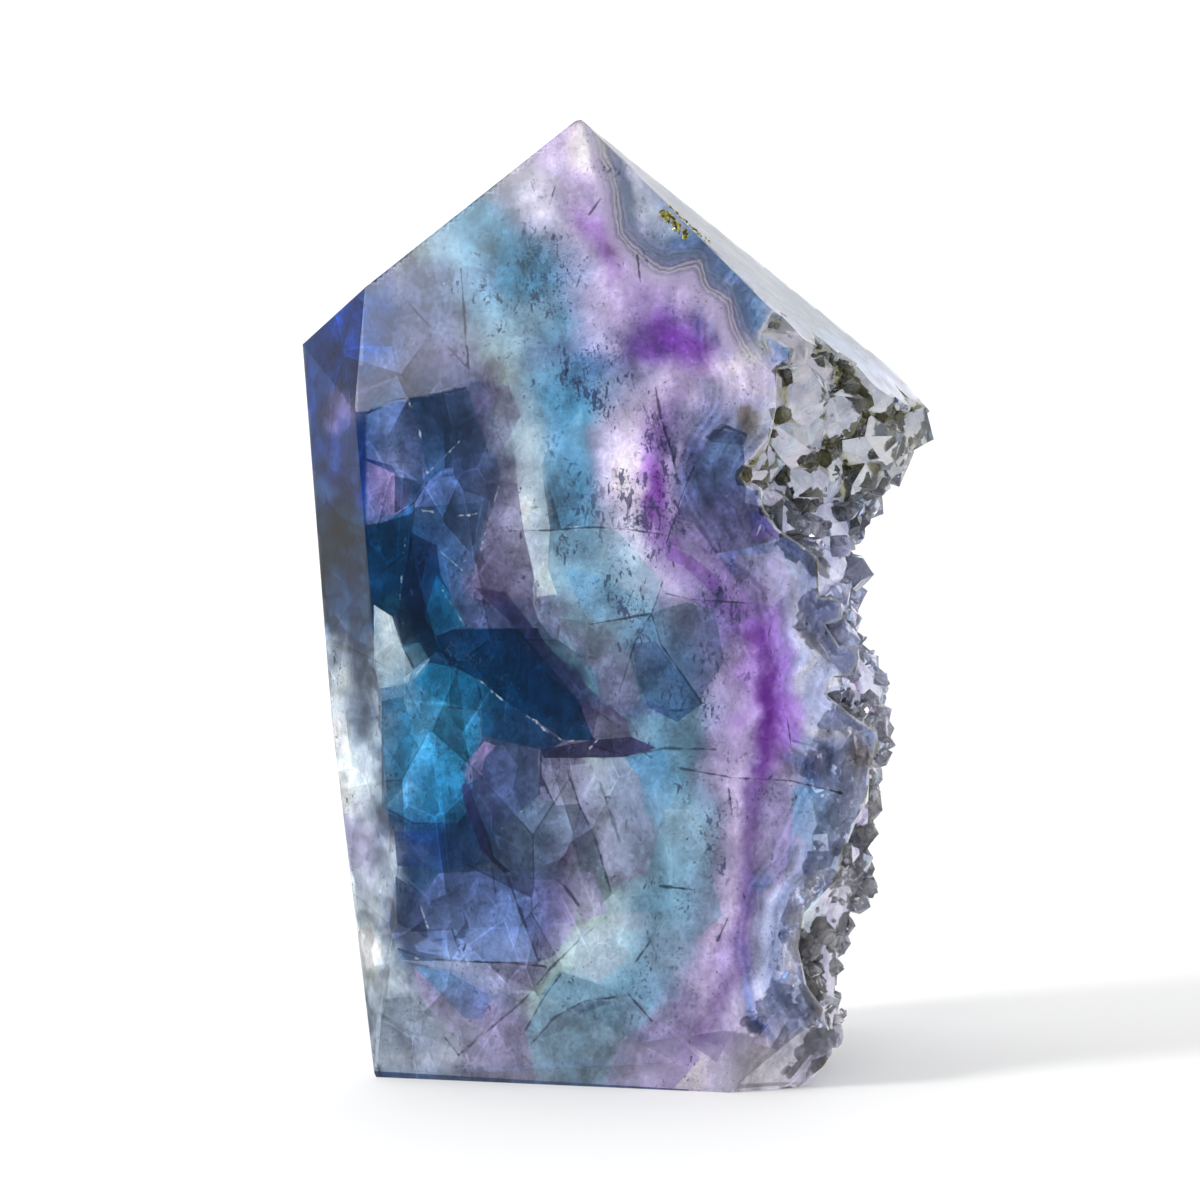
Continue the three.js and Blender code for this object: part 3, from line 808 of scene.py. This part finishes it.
def zone_tints(seen, rim):
    """The stone's colours: bands along the vein, the rough wall and the lobes, then clouds, then panes."""
    bend = np.stack([cloudy(seen, 11, seed) for seed in (5, 6)], 1)
    fray = [cloudy(seen, 4, seed, 3) for seed in (41, 42, 43)]
    flat = seen[:, [0, 2]]
    drifted = flat + bend * 2.2
    vein = line_distance(drifted, VEIN)
    lobe = -line_distance(flat + bend * 0.8, LOBES)
    tint = band_tints(rim + 2.5 * bend[:, 0], RIM_BANDS)
    lobed = smooth(lobe, -2.5, 0) * smooth(flat[:, 1], 82, 88)
    tint = blend(tint, band_tints(lobe, LOBE_BANDS), lobed)
    tint = blend(tint, band_tints(vein, VEIN_BANDS), smooth(vein, -2, 2) * (1 - lobed))
    for number, (_, across, up, wide, high, turn, tone, strength) in enumerate(CLOUDS):
        mask = smooth(egg(drifted, across, up, wide, high, turn) + 0.28 * fray[number % 3], 1.35, 0.3)
        tint = blend(tint, TONES[tone], mask * strength)
    tint = pane_tints(flat, tint)
    tint *= np.exp(0.2 * fray[0] + 0.15 * fray[1])[:, None]
    grey = tint.mean(1, keepdims=True)
    return np.minimum(TINT_GAIN * np.maximum(grey + TINT_DEPTH * (tint - grey), 0.002) ** TINT_POWER, 0.95)


def point_normals(mesh):
    """The directions that a mesh's points face."""
    normals = np.empty(len(mesh.vertices) * 3, np.float32)
    mesh.vertices.foreach_get("normal", normals)
    return normals.reshape(-1, 3).astype(float)


def relief(mesh, rounds=16):
    """How far each point of the rough wall stands out from the wall as it would be if smoothed many times."""
    places = mesh_points(mesh)
    count = len(places)
    edges = np.empty(len(mesh.edges) * 2, np.int32)
    mesh.edges.foreach_get("vertices", edges)
    one, other = edges.reshape(-1, 2).T
    neighbours = np.bincount(edges, minlength=count)[:, None]
    rough = rough_points(mesh)[:, None]
    level = places.copy()
    for _ in range(rounds):
        total = np.stack([np.bincount(one, level[other, i], count) + np.bincount(other, level[one, i], count)
                          for i in range(3)], 1)
        level = np.where(rough, total / neighbours, level)
    return ((places - level) * point_normals(mesh)).sum(1)


def keep_fields(mesh):
    """Works out the colours at the polished face corners, and the distances that lines and flecks follow."""
    corners, sizes, materials = face_layout(mesh)
    places = mesh_points(mesh)
    rim = nearest_distance(places, wall_points(mesh)) / MM
    seen = front_view(places)
    keep_values(mesh, "rim", rim)
    # How deep each point of the rough wall lies in a hollow: the wall's material paints shade and lays clay
    # by it.
    keep_values(mesh, "hollow", smooth(relief(mesh) / MM, 0.25, -0.55))
    flat = seen[:, [0, 2]]
    keep_values(mesh, "vein", line_distance(flat, VEIN))
    keep_values(mesh, "core", np.interp(flat[:, 1], *zip(*VEIN_CORE)))
    keep_values(mesh, "lobe", -line_distance(flat, LOBES))
    keep_values(mesh, "broken", smooth(line_distance(flat, BROKEN_EDGE) + 2 * cloudy(seen, 9, 8), -2, 2))
    flecks = [strength * smooth(egg(flat, *place), 1.2, 0.3) for *place, strength in FLECKS]
    keep_values(mesh, "fleck", np.max(flecks, 0))

    polished = np.repeat(materials == 0, sizes)
    owner = np.repeat(np.arange(len(sizes)), sizes)
    middles = np.stack([np.bincount(owner, seen[corners, i]) for i in range(3)], 1) / sizes[:, None]
    inner = seen[corners] + 0.03 * (middles[owner] - seen[corners])
    tints = np.zeros((len(corners), 3))
    tints[polished] = zone_tints(inner[polished], rim[corners[polished]])
    facing_back = smooth(point_normals(mesh)[:, 1], -0.15, 0.15)
    keep_values(mesh, "back", facing_back)
    keep_colours(mesh, "tint", laid_tints(tints, facing_back[corners][:, None]))
    for name, rows in (("crack", CRACKS), ("glint", GLINTS)):
        ways = [abs(line_distance(inner[:, [0, 2]], line)) / strength for strength, *line in rows]
        keep_values(mesh, name, np.min(ways, 0), "CORNER")


def laid_tints(tints, facing_back):
    """The colours as they are laid on the faces: powers of their brightness and of their hue."""
    grey = np.maximum(tints.mean(1, keepdims=True), 1e-4)
    power = FRONT_POWER + (BACK_POWER - FRONT_POWER) * facing_back
    hue = FRONT_HUE + (BACK_HUE - FRONT_HUE) * facing_back
    return np.minimum(grey ** power * (tints / grey) ** hue, 0.97)


def stone_mesh():
    """The stone with rounded edges, a fine grid and the colours of its zones."""
    stone = merged_stone()
    numbers, planes = facet_numbers(stone)
    for face, number in zip(stone.faces, numbers):
        face.material_index = 0 if number >= 0 else 1
    facets = [[face for face, number in zip(stone.faces, numbers) if number == i] for i in range(len(planes))]
    for facet in facets:
        bmesh.ops.dissolve_faces(stone, faces=facet, use_verts=False)
    round_edges(stone)
    stone.normal_update()
    polished = [face for face in stone.faces if face.material_index == 0]
    front = [face for face in polished if face.normal.y < -0.5]
    rest = [face for face in polished if face.normal.y >= -0.5]
    front = cut_grid(stone, front, (2, 0), PANE_SQUARE)
    cut_grid(stone, cut_lines(stone, front), (2, 0), FRONT_STEP)
    cut_grid(stone, rest, (0, 1, 2), REST_STEP)
    split_rough(stone)
    for face in stone.faces:
        face.smooth = face.material_index == 0
    for edge in stone.edges:
        edge.smooth = all(face.material_index == 0 for face in edge.link_faces)
    mesh = bpy.data.meshes.new("fluorite_stone")
    stone.to_mesh(mesh)
    stone.free()
    chip_rough(mesh)
    keep_fields(mesh)
    return mesh, planes


# Druse and grains


def unit(vectors):
    """Vectors of the same directions with length 1."""
    return vectors / np.linalg.norm(vectors, axis=-1, keepdims=True)


def wall_triangles(mesh):
    """Corners of the rough triangles, and how deep each lies in a hollow."""
    corners, sizes, materials = face_layout(mesh)
    starts = np.cumsum(sizes) - sizes
    rough = np.flatnonzero((materials == 1) & (sizes == 3))
    points = corners[starts[rough][:, None] + np.arange(3)]
    hollow = np.empty(len(mesh.vertices), np.float32)
    mesh.attributes["hollow"].data.foreach_get("value", hollow)
    return mesh_points(mesh)[points], hollow[points].mean(1)


def druse_mesh(stone, planes):
    """Small crystals on the rough wall: a ring of six root points, a ring of six shoulder points and a tip
    along a direction near the wall's own. Most fill the hollows, and below the upper block some stand all
    over."""
    random = np.random.default_rng(CRYSTAL_SEED)
    triangles, hollow = wall_triangles(stone)
    spread = np.cross(triangles[:, 1] - triangles[:, 0], triangles[:, 2] - triangles[:, 0])
    area = np.linalg.norm(spread, axis=1)
    above = smooth(triangles[:, :, 2].mean(1), BLOCK_FOOT - 4 * MM, BLOCK_FOOT + 4 * MM)
    weight = area * (smooth(hollow, 0.4, 0.9) + 0.04 * (1 - above))
    chosen = random.choice(len(triangles), CRYSTALS, p=weight / weight.sum())
    share = random.random((CRYSTALS, 2, 1))
    share = np.where(share.sum(1, keepdims=True) > 1, 1 - share, share)
    corner, edges = triangles[chosen, 0], triangles[chosen, 1:] - triangles[chosen, :1]
    root = corner + (share * edges).sum(1)
    axis = unit(unit(spread[chosen]) + 0.42 * random.normal(size=(CRYSTALS, 3)))
    side = unit(np.cross(axis, random.normal(size=(CRYSTALS, 3))))
    other = np.cross(axis, side)
    radius = MM * (0.3 + 1.1 * random.random((CRYSTALS, 1, 1)) ** 2)
    turn = 2 * np.pi * np.arange(CRYSTAL_SIDES) / CRYSTAL_SIDES
    ring = np.cos(turn)[:, None] * side[:, None] + np.sin(turn)[:, None] * other[:, None]
    uneven = 1 + 0.22 * random.uniform(-1, 1, (CRYSTALS, CRYSTAL_SIDES, 1))
    step = random.uniform(0.5, 1.3, (CRYSTALS, 1, 1))
    step = step * (1 + 0.2 * random.uniform(-1, 1, (CRYSTALS, CRYSTAL_SIDES, 1)))
    upward = axis[:, None]
    low = root[:, None] + radius * (ring * uneven - 0.7 * upward)
    shoulder = root[:, None] + radius * (ring * uneven * 0.94 + step * upward)
    rise = step.mean(1, keepdims=True) + random.uniform(0.5, 1.0, (CRYSTALS, 1, 1))
    tip = root[:, None] + radius * (rise * upward + 0.25 * random.uniform(-1, 1, (CRYSTALS, 1, 3)))
    points = np.concatenate([low, shoulder, tip], 1)
    inside = np.all([(points @ normal).max(1) < offset - 0.05 * MM for normal, offset in planes], 0)
    points = points[inside]
    start = np.arange(len(points))[:, None, None] * points.shape[1]
    here = np.arange(CRYSTAL_SIDES)
    after = np.roll(here, -1)
    walls = start + np.stack([here, after, after + CRYSTAL_SIDES, here + CRYSTAL_SIDES], 1)
    top = np.full(CRYSTAL_SIDES, 2 * CRYSTAL_SIDES)
    caps = start + np.stack([here + CRYSTAL_SIDES, after + CRYSTAL_SIDES, top], 1)
    roots = start + here[::-1][None]
    faces = [*walls.reshape(-1, 4).tolist(), *caps.reshape(-1, 3).tolist(), *roots.reshape(-1, 6).tolist()]
    mesh = bpy.data.meshes.new("druse_crystals")
    mesh.from_pydata(points.reshape(-1, 3), [], faces)
    # Roots count as deepest in a hollow and tips not at all, so the material paints shade at the crystals'
    # feet and lays clay there.
    depth = np.repeat([1.0, 0.35, 0.0], [CRYSTAL_SIDES, CRYSTAL_SIDES, 1])
    keep_values(mesh, "hollow", np.tile(depth, len(points)))
    return mesh


def facing(planes, direction):
    """The ground plane that faces nearest to a direction."""
    return max(planes, key=lambda plane: plane[0] @ unit(np.array(direction)))


def grain_mesh(planes):
    """Gilt grains in two strands beside an edge of two facets: eight-sided, of six points, half sunk."""
    random = np.random.default_rng(GRAIN_SEED)
    front, front_offset = facing(planes, UPPER_FRONT_WAY)
    roof, roof_offset = facing(planes, RIGHT_ROOF_WAY)
    along = unit(np.cross(front, roof))
    along *= -np.sign(along[2])
    rows = np.array([front, roof, (0, 0, 1)])
    edge_start = np.linalg.solve(rows, (front_offset, roof_offset, GRAIN_START))
    on_front = np.arange(GRAINS) % 3 > 0
    normal = np.where(on_front[:, None], front, roof)
    inward = np.where(on_front[:, None], np.cross(along, front), np.cross(roof, along))
    inward *= np.sign((inward * ((0, 0, 0.06) - edge_start)).sum(1, keepdims=True))
    way = MM * np.where(on_front, 4.6, 6.2) * random.random(GRAINS)
    front_off = 0.9 * random.random(GRAINS)
    roof_off = 0.5 * way / MM * random.random(GRAINS)
    off = MM * (0.5 + np.where(on_front, front_off, roof_off))
    middle = edge_start + along * way[:, None] + inward * off[:, None]
    size = MM * random.uniform(0.12, 0.30, (GRAINS, 1))
    side = unit(np.cross(normal, random.normal(size=(GRAINS, 3))))
    other = np.cross(normal, side)
    axes = np.stack([side, other, 0.6 * normal], 1) * random.uniform(0.7, 1.3, (GRAINS, 3, 1))
    points = middle[:, None] + size[:, None] * np.concatenate([axes, -axes], 1)
    upper = np.array([(0, 1, 2), (1, 3, 2), (3, 4, 2), (4, 0, 2)])
    lower = np.array([(1, 0, 5), (3, 1, 5), (4, 3, 5), (0, 4, 5)])
    faces = (np.arange(GRAINS)[:, None, None] * 6 + np.concatenate([upper, lower])).reshape(-1, 3)
    mesh = bpy.data.meshes.new("gilt_grains")
    mesh.from_pydata(points.reshape(-1, 3), [], faces.tolist())
    return mesh


# Materials


class Weave:
    """Short calls for the nodes of one material or node group."""

    def __init__(self, tree):
        self.tree = tree

    def node(self, kind, links=None, **settings):
        made = self.tree.nodes.new(kind)
        for name, value in settings.items():
            setattr(made, name, value)
        for socket, value in (links or {}).items():
            self.feed(made.inputs[socket], value)
        return made

    def feed(self, socket, value):
        if isinstance(value, bpy.types.NodeSocket):
            self.tree.links.new(value, socket)
        else:
            socket.default_value = value

    def maths(self, operation, *values):
        return self.node("ShaderNodeMath", dict(enumerate(values)), operation=operation).outputs[0]

    def smooth(self, value, low, high, start=0.0, end=1.0):
        made = self.node("ShaderNodeMapRange", {"Value": value, "From Min": low, "From Max": high,
                                                "To Min": start, "To Max": end},
                         interpolation_type="SMOOTHSTEP")
        return made.outputs["Result"]

    def vector(self, operation, *values):
        made = self.node("ShaderNodeVectorMath", dict(enumerate(values)), operation=operation)
        return made.outputs["Value" if operation == "DOT_PRODUCT" else "Vector"]

    def noise(self, place, scale, detail=3.0, roughness=0.55):
        return self.node("ShaderNodeTexNoise", {"Vector": place, "Scale": scale, "Detail": detail,
                                                "Roughness": roughness})

    def grain(self, place, scale, detail=3.0, roughness=0.55):
        """Noise around zero."""
        return self.maths("SUBTRACT", self.noise(place, scale, detail, roughness).outputs["Fac"], 0.5)

    def turned(self, place, turn, stretch):
        made = self.node("ShaderNodeMapping", {"Vector": place, "Rotation": turn, "Scale": stretch})
        return made.outputs[0]

    def attribute(self, name, output="Fac"):
        return self.node("ShaderNodeAttribute", attribute_name=name).outputs[output]

    def grey(self, value):
        return self.node("ShaderNodeCombineColor", {0: value, 1: value, 2: value}).outputs[0]

    def mix(self, share, one, other, blend="MIX"):
        made = self.node("ShaderNodeMix", data_type="RGBA", blend_type=blend)
        self.feed(made.inputs["Factor"], share)
        self.feed(made.inputs["A"], one)
        self.feed(made.inputs["B"], other)
        return made.outputs["Result"]

    def ramp(self, share, stops):
        made = self.node("ShaderNodeValToRGB", {"Fac": share})
        elements = made.color_ramp.elements
        for place, _ in stops[2:]:
            elements.new(place)
        for element, (place, colour) in zip(elements, stops):
            element.position = place
            element.color = (*colour, 1)
        return made.outputs["Color"]


def new_material(name):
    """A material of one Principled shader."""
    material = bpy.data.materials.new(name)
    material.use_nodes = True
    material.node_tree.nodes.clear()
    weave = Weave(material.node_tree)
    output = weave.node("ShaderNodeOutputMaterial")
    shader = weave.node("ShaderNodeBsdfPrincipled")
    material.node_tree.links.new(shader.outputs[0], output.inputs["Surface"])
    return material, weave, shader


def millimetres(weave):
    """The place in the stone in millimetres."""
    return weave.vector("MULTIPLY", weave.node("ShaderNodeTexCoord").outputs["Object"], (1000, 1000, 1000))


def splinters(weave, place, size, turn, stretch):
    """Shade of flat-sided splinters, and the thin breaks between them: each cell of a turned lattice slopes
    from dark to light in its own direction."""
    turned = weave.turned(place, turn, stretch)
    lattice = {"Vector": turned, "Scale": 1 / size}
    cells = weave.node("ShaderNodeTexVoronoi", lattice)
    lean = weave.vector("SUBTRACT", cells.outputs["Color"], (0.5, 0.5, 0.5))
    reach = weave.vector("SUBTRACT", turned, cells.outputs["Position"])
    edges = weave.node("ShaderNodeTexVoronoi", lattice, feature="DISTANCE_TO_EDGE")
    breaks = weave.smooth(weave.maths("MULTIPLY", edges.outputs["Distance"], size), 0.02, 0.12, 1.0, 0.0)
    return weave.maths("DIVIDE", weave.vector("DOT_PRODUCT", lean, reach), size), breaks


def deepened(tone):
    """A tone as it is laid on the front."""
    return tuple(laid_tints(np.array([TONES[tone]]), 0.0)[0])


def fluorite_material():
    """Clear polished fluorite: colours of the zones, broken by splinters, cracks, painted glints, thin lines
    and flecks.
    """
    material, weave, shader = new_material("polished_fluorite")
    place = millimetres(weave)
    wide = weave.grain(place, 0.35, 4.0, 0.62)
    fine = weave.grain(place, 1.6, 3.0, 0.65)
    broken = weave.attribute("broken")
    colour = weave.attribute("tint", "Color")

    large, large_breaks = splinters(weave, place, 11.0, (0.5, 0.35, 0.2), (1.0, 0.6, 0.75))
    small, small_breaks = splinters(weave, place, 4.5, (0.2, 0.9, 0.6), (1.0, 0.6, 0.55))
    shade = weave.maths("MULTIPLY_ADD", large, 2.0, weave.maths("MULTIPLY", small, 1.6))
    patch = weave.noise(place, 0.14, 1.0).outputs["Fac"]
    dark_breaks = weave.maths("MULTIPLY", large_breaks, weave.smooth(patch, 0.45, 0.55, 0.0, 1.0))
    # Painted glints: some of the breaks between the small splinters are drawn pale, as light caught in them.
    glint_breaks = weave.maths("MULTIPLY", small_breaks, weave.smooth(patch, 0.52, 0.42, 0.0, 0.6))
    shade = weave.maths("ADD", weave.maths("SUBTRACT", shade, dark_breaks), glint_breaks)
    shade = weave.maths("MULTIPLY", shade, weave.maths("MULTIPLY_ADD", broken, 0.75, 0.25))
    mottle = weave.maths("MULTIPLY_ADD", wide, 2.2, weave.maths("MULTIPLY", fine, 1.8))
    shade = weave.maths("ADD", shade, mottle)

    inward = weave.maths("MULTIPLY_ADD", wide, 1.2, weave.attribute("rim"))
    settings = {"W": inward, "Scale": 1.1, "Detail": 1.0}
    lines = weave.node("ShaderNodeTexNoise", settings, noise_dimensions="1D")
    growth = weave.maths("SUBTRACT", lines.outputs["Fac"], 0.5)
    growth = weave.maths("MULTIPLY", growth, weave.smooth(weave.attribute("rim"), 5.0, 14.0, 2.4, 0.0))
    shade = weave.maths("ADD", shade, growth)
    blot = weave.noise(weave.turned(place, (0.0, 0.3, 0.0), (1.0, 0.6, 0.62)), 0.26, 4.0, 0.68).outputs["Fac"]
    shade = weave.maths("ADD", shade, weave.smooth(blot, 0.53, 0.555, 0.0, -0.45))
    shade = weave.maths("ADD", shade, weave.smooth(blot, 0.46, 0.435, 0.0, 0.30))
    pale = weave.vector("DOT_PRODUCT", colour, (0.33, 0.33, 0.33))
    shade = weave.maths("MULTIPLY", shade, weave.smooth(pale, 0.04, 0.40, 1.0, 0.5))
    shade = weave.maths("MULTIPLY", shade, weave.smooth(weave.attribute("back"), 0.0, 1.0, 1.0, 0.75))
    colour = weave.mix(1.0, colour, weave.grey(weave.maths("EXPONENT", shade)), "MULTIPLY")

    vein = weave.maths("MULTIPLY_ADD", wide, 4.5, weave.attribute("vein"))
    core = weave.smooth(weave.maths("ABSOLUTE", vein), 0.1, 1.9, 0.95, 0.0)
    core = weave.maths("MULTIPLY", core, weave.attribute("core"))
    colour = weave.mix(core, colour, (0.10, 0.012, 0.22, 1))

    lobe = weave.maths("MULTIPLY_ADD", wide, 1.6, weave.attribute("lobe"))
    stops = [(at, deepened(tone)) for at, tone in SEAM_TONES]
    seams = weave.ramp(weave.smooth(lobe, -1.8, 2.2), stops)
    seam = weave.maths("MULTIPLY", weave.smooth(lobe, -2.2, -1.2), weave.smooth(lobe, 1.6, 2.6, 0.75, 0.0))
    height = weave.node("ShaderNodeSeparateXYZ", {0: place}).outputs["Z"]
    colour = weave.mix(weave.maths("MULTIPLY", seam, weave.smooth(height, 84.0, 88.0)), colour, seams)

    spots = weave.noise(weave.turned(place, (0.0, 0.6, 0.0), (1.7, 0.6, 0.75)), 0.85, 2.0, 0.6).outputs["Fac"]
    cluster = weave.noise(place, 0.25, 1.0).outputs["Fac"]
    spots = weave.maths("MULTIPLY_ADD", weave.attribute("fleck"), 0.16, spots)
    spots = weave.maths("MULTIPLY_ADD", cluster, 0.5, spots)
    colour = weave.mix(weave.smooth(spots, 0.985, 1.025, 0.0, 0.9), colour, (0.012, 0.016, 0.06, 1))

    dust = weave.maths("MULTIPLY_ADD", cluster, 0.5, weave.noise(place, 2.6, 1.0, 0.5).outputs["Fac"])
    dust = weave.maths("MULTIPLY_ADD", weave.attribute("fleck"), 0.12, dust)
    colour = weave.mix(weave.smooth(dust, 0.985, 1.015, 0.0, 0.75), colour, (0.012, 0.02, 0.07, 1))

    crack = weave.maths("MULTIPLY_ADD", wide, 1.2, weave.attribute("crack"))
    colour = weave.mix(weave.smooth(crack, 0.02, 0.26, 0.9, 0.0), colour, (0.004, 0.006, 0.02, 1))
    # Painted glints: thin pale lines along the bright cracks, patchy by noise.
    glint = weave.maths("MULTIPLY_ADD", fine, 1.6, weave.attribute("glint"))
    glint = weave.smooth(glint, 0.0, 0.11, 1.0, 0.0)
    glint = weave.maths("MULTIPLY", glint, weave.smooth(wide, -0.04, 0.1, 0.0, 0.7))
    colour = weave.mix(glint, colour, (0.66, 0.72, 0.78, 1))

    rim = weave.maths("MULTIPLY_ADD", fine, 0.8, weave.attribute("rim"))
    crust = weave.ramp(cluster, [(0.5, (0.66, 0.66, 0.64)), (0.58, (0.20, 0.17, 0.05))])
    colour = weave.mix(weave.smooth(rim, 0.15, 0.4, 0.85, 0.0), colour, crust)

    weave.feed(shader.inputs["Base Color"], colour)
    weave.feed(shader.inputs["Roughness"], weave.smooth(cluster, 0.35, 0.65, 0.04, 0.07))
    shader.inputs["IOR"].default_value = FLUORITE_IOR
    shader.inputs["Transmission Weight"].default_value = 0.7
    return material


def clay_group():
    """Olive and ochre clay that lies in the hollows of the rough wall, most of it in the upper block."""
    group = bpy.data.node_groups.new("clay", "ShaderNodeTree")
    for name, way, kind in (("Crystal", "INPUT", "NodeSocketColor"), ("Hollow", "INPUT", "NodeSocketFloat"),
                            ("Colour", "OUTPUT", "NodeSocketColor"), ("Cover", "OUTPUT", "NodeSocketFloat")):
        group.interface.new_socket(name, in_out=way, socket_type=kind)
    weave = Weave(group)
    given = weave.node("NodeGroupInput").outputs
    place = millimetres(weave)
    height = weave.node("ShaderNodeSeparateXYZ", {0: place}).outputs["Z"]
    level = weave.smooth(height, 78.0, 90.0, 1.0, 0.35)
    level = weave.maths("MULTIPLY", weave.smooth(height, 66.0, 74.0), level)
    level = weave.maths("MULTIPLY_ADD", level, 0.36, weave.noise(place, 0.22, 4.0).outputs["Fac"])
    level = weave.maths("MULTIPLY_ADD", given["Hollow"], 0.42, level)
    cover = weave.smooth(level, 1.02, 1.2)
    clay = weave.ramp(weave.noise(place, 0.9, 4.0, 0.6).outputs["Fac"], [
        (0.32, (0.09, 0.085, 0.035)), (0.45, (0.20, 0.19, 0.07)), (0.56, (0.40, 0.38, 0.18)),
        (0.66, (0.30, 0.20, 0.10)),
    ])
    leave = weave.node("NodeGroupOutput")
    weave.feed(leave.inputs["Colour"], weave.mix(cover, given["Crystal"], clay))
    weave.feed(leave.inputs["Cover"], cover)
    return group


def druse_material(name, clay, dark, pale):
    """Glassy crystal, grey where it is cloudy, with painted shade in its hollows, and clay."""
    material, weave, shader = new_material(name)
    place = millimetres(weave)
    hollow = weave.attribute("hollow")
    cloud = weave.noise(place, 0.3, 4.0).outputs["Fac"]
    colour = weave.ramp(cloud, [(0.38, dark), (0.58, pale)])
    height = weave.node("ShaderNodeSeparateXYZ", {0: place}).outputs["Z"]
    # Painted shade: darker the deeper a point lies in a hollow. The colour is also set 1.3 times as bright
    # below 58 mm and 0.95 times above 72 mm.
    shade = weave.smooth(hollow, 0.1, 1.0, 1.0, 0.48)
    shade = weave.maths("MULTIPLY", shade, weave.smooth(height, 58.0, 72.0, 1.3, 0.95))
    colour = weave.mix(1.0, colour, weave.grey(shade), "MULTIPLY")
    stain = weave.mix(weave.smooth(height, 40.0, 52.0), (1.16, 1.11, 1.03, 1), (1.1, 1.1, 1.22, 1))
    stain = weave.mix(weave.smooth(height, 62.0, 74.0), stain, (1.0, 0.98, 0.8, 1))
    colour = weave.mix(1.0, colour, stain, "MULTIPLY")
    group = weave.node("ShaderNodeGroup", node_tree=clay)
    weave.feed(group.inputs["Crystal"], colour)
    weave.feed(group.inputs["Hollow"], hollow)
    weave.feed(shader.inputs["Base Color"], group.outputs["Colour"])
    weave.feed(shader.inputs["Roughness"], weave.smooth(group.outputs["Cover"], 0.0, 1.0, 0.07, 0.7))
    shader.inputs["IOR"].default_value = FLUORITE_IOR
    shader.inputs["Transmission Weight"].default_value = 0.88
    return material


def gilt_material():
    """Dull gilt grains, darker where they are tarnished."""
    material, weave, shader = new_material("gilt")
    tarnish = weave.noise(millimetres(weave), 2.2, 3.0).outputs["Fac"]
    colour = weave.ramp(tarnish, [(0.4, (0.035, 0.035, 0.01)), (0.62, (0.50, 0.46, 0.13))])
    weave.feed(shader.inputs["Base Color"], colour)
    weave.feed(shader.inputs["Roughness"], weave.smooth(tarnish, 0.4, 0.6, 0.6, 0.28))
    shader.inputs["Metallic"].default_value = 0.8
    return material


# Stage


def add_stage():
    """A pale floor and white surroundings, dim in front of the stone but for a soft box, and a low sun."""
    mesh = bpy.data.meshes.new("floor")
    corners = np.array([(-1, -1), (1, -1), (1, 1), (-1, 1)]) * FLOOR_HALF
    mesh.from_pydata([(*corner, FLOOR_LEVEL) for corner in corners], [], [(0, 1, 2, 3)])
    floor = bpy.data.objects.new("floor", mesh)
    bpy.context.scene.collection.objects.link(floor)
    material, _, shader = new_material("pale_floor")
    shader.inputs["Base Color"].default_value = (FLOOR_TONE, FLOOR_TONE, FLOOR_TONE, 1)
    shader.inputs["Roughness"].default_value = 0.8
    shader.inputs["Emission Color"].default_value = (1, 1, 1, 1)
    shader.inputs["Emission Strength"].default_value = FLOOR_GLOW
    mesh.materials.append(material)
    world = bpy.data.worlds.new("studio")
    world.use_nodes = True
    weave = Weave(world.node_tree)
    way = weave.node("ShaderNodeTexCoord").outputs["Generated"]
    depth = weave.node("ShaderNodeSeparateXYZ", {0: way}).outputs["Y"]
    room = weave.smooth(depth, -0.75, 0.05, ROOM_FRONT, ROOM_BACK)
    box = weave.smooth(weave.vector("DOT_PRODUCT", way, BOX_WAY), BOX_EDGE, BOX_MIDDLE, 0.0, BOX_LIGHT)
    weave.feed(world.node_tree.nodes["Background"].inputs["Strength"], weave.maths("ADD", room, box))
    world.node_tree.nodes["Background"].inputs["Color"].default_value = (1, 1, 1, 1)
    bpy.context.scene.world = world
    add_sun()


def add_sun():
    """A low soft sun from the left, aimed at the middle of the stone and seen only by its light."""
    data = bpy.data.lights.new("key", "SUN")
    data.energy = SUN_LIGHT
    data.angle = SUN_SPREAD
    sun = bpy.data.objects.new("key", data)
    aim = np.array([0, 0, 0.055]) - np.array(SUN_PLACE)
    sun.rotation_euler = (math.acos(-aim[2] / np.linalg.norm(aim)), 0, math.atan2(-aim[0], aim[1]))
    sun.location = SUN_PLACE
    sun.visible_camera = False
    bpy.context.scene.collection.objects.link(sun)


def add_camera():
    """The camera, nearly as high as the stone's top and looking slightly down."""
    data = bpy.data.cameras.new("camera")
    data.lens = CAMERA_LENS
    data.sensor_width = CAMERA_SENSOR
    camera = bpy.data.objects.new("camera", data)
    camera.location = CAMERA_PLACE
    camera.rotation_euler = (math.radians(90 - CAMERA_DROP), 0, 0)
    bpy.context.scene.collection.objects.link(camera)
    bpy.context.scene.camera = camera


add_camera()
add_stage()
bpy.context.scene.view_settings.view_transform = "Standard"
stone_data, ground_planes = stone_mesh()
clay = clay_group()
rough_wall = druse_material("rough_wall", clay, (0.32, 0.34, 0.45), (0.62, 0.64, 0.70))
stone_piece = new_piece("fluorite_stone", stone_data, "fluorite", fluorite_material(), rough_wall)
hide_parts(NODE)
new_piece("druse_crystals", druse_mesh(stone_data, ground_planes), "druse",
          druse_material("druse", clay, (0.32, 0.34, 0.42), (0.64, 0.65, 0.70)))
new_piece("gilt_grains", grain_mesh(ground_planes), "gilt_grains", gilt_material())
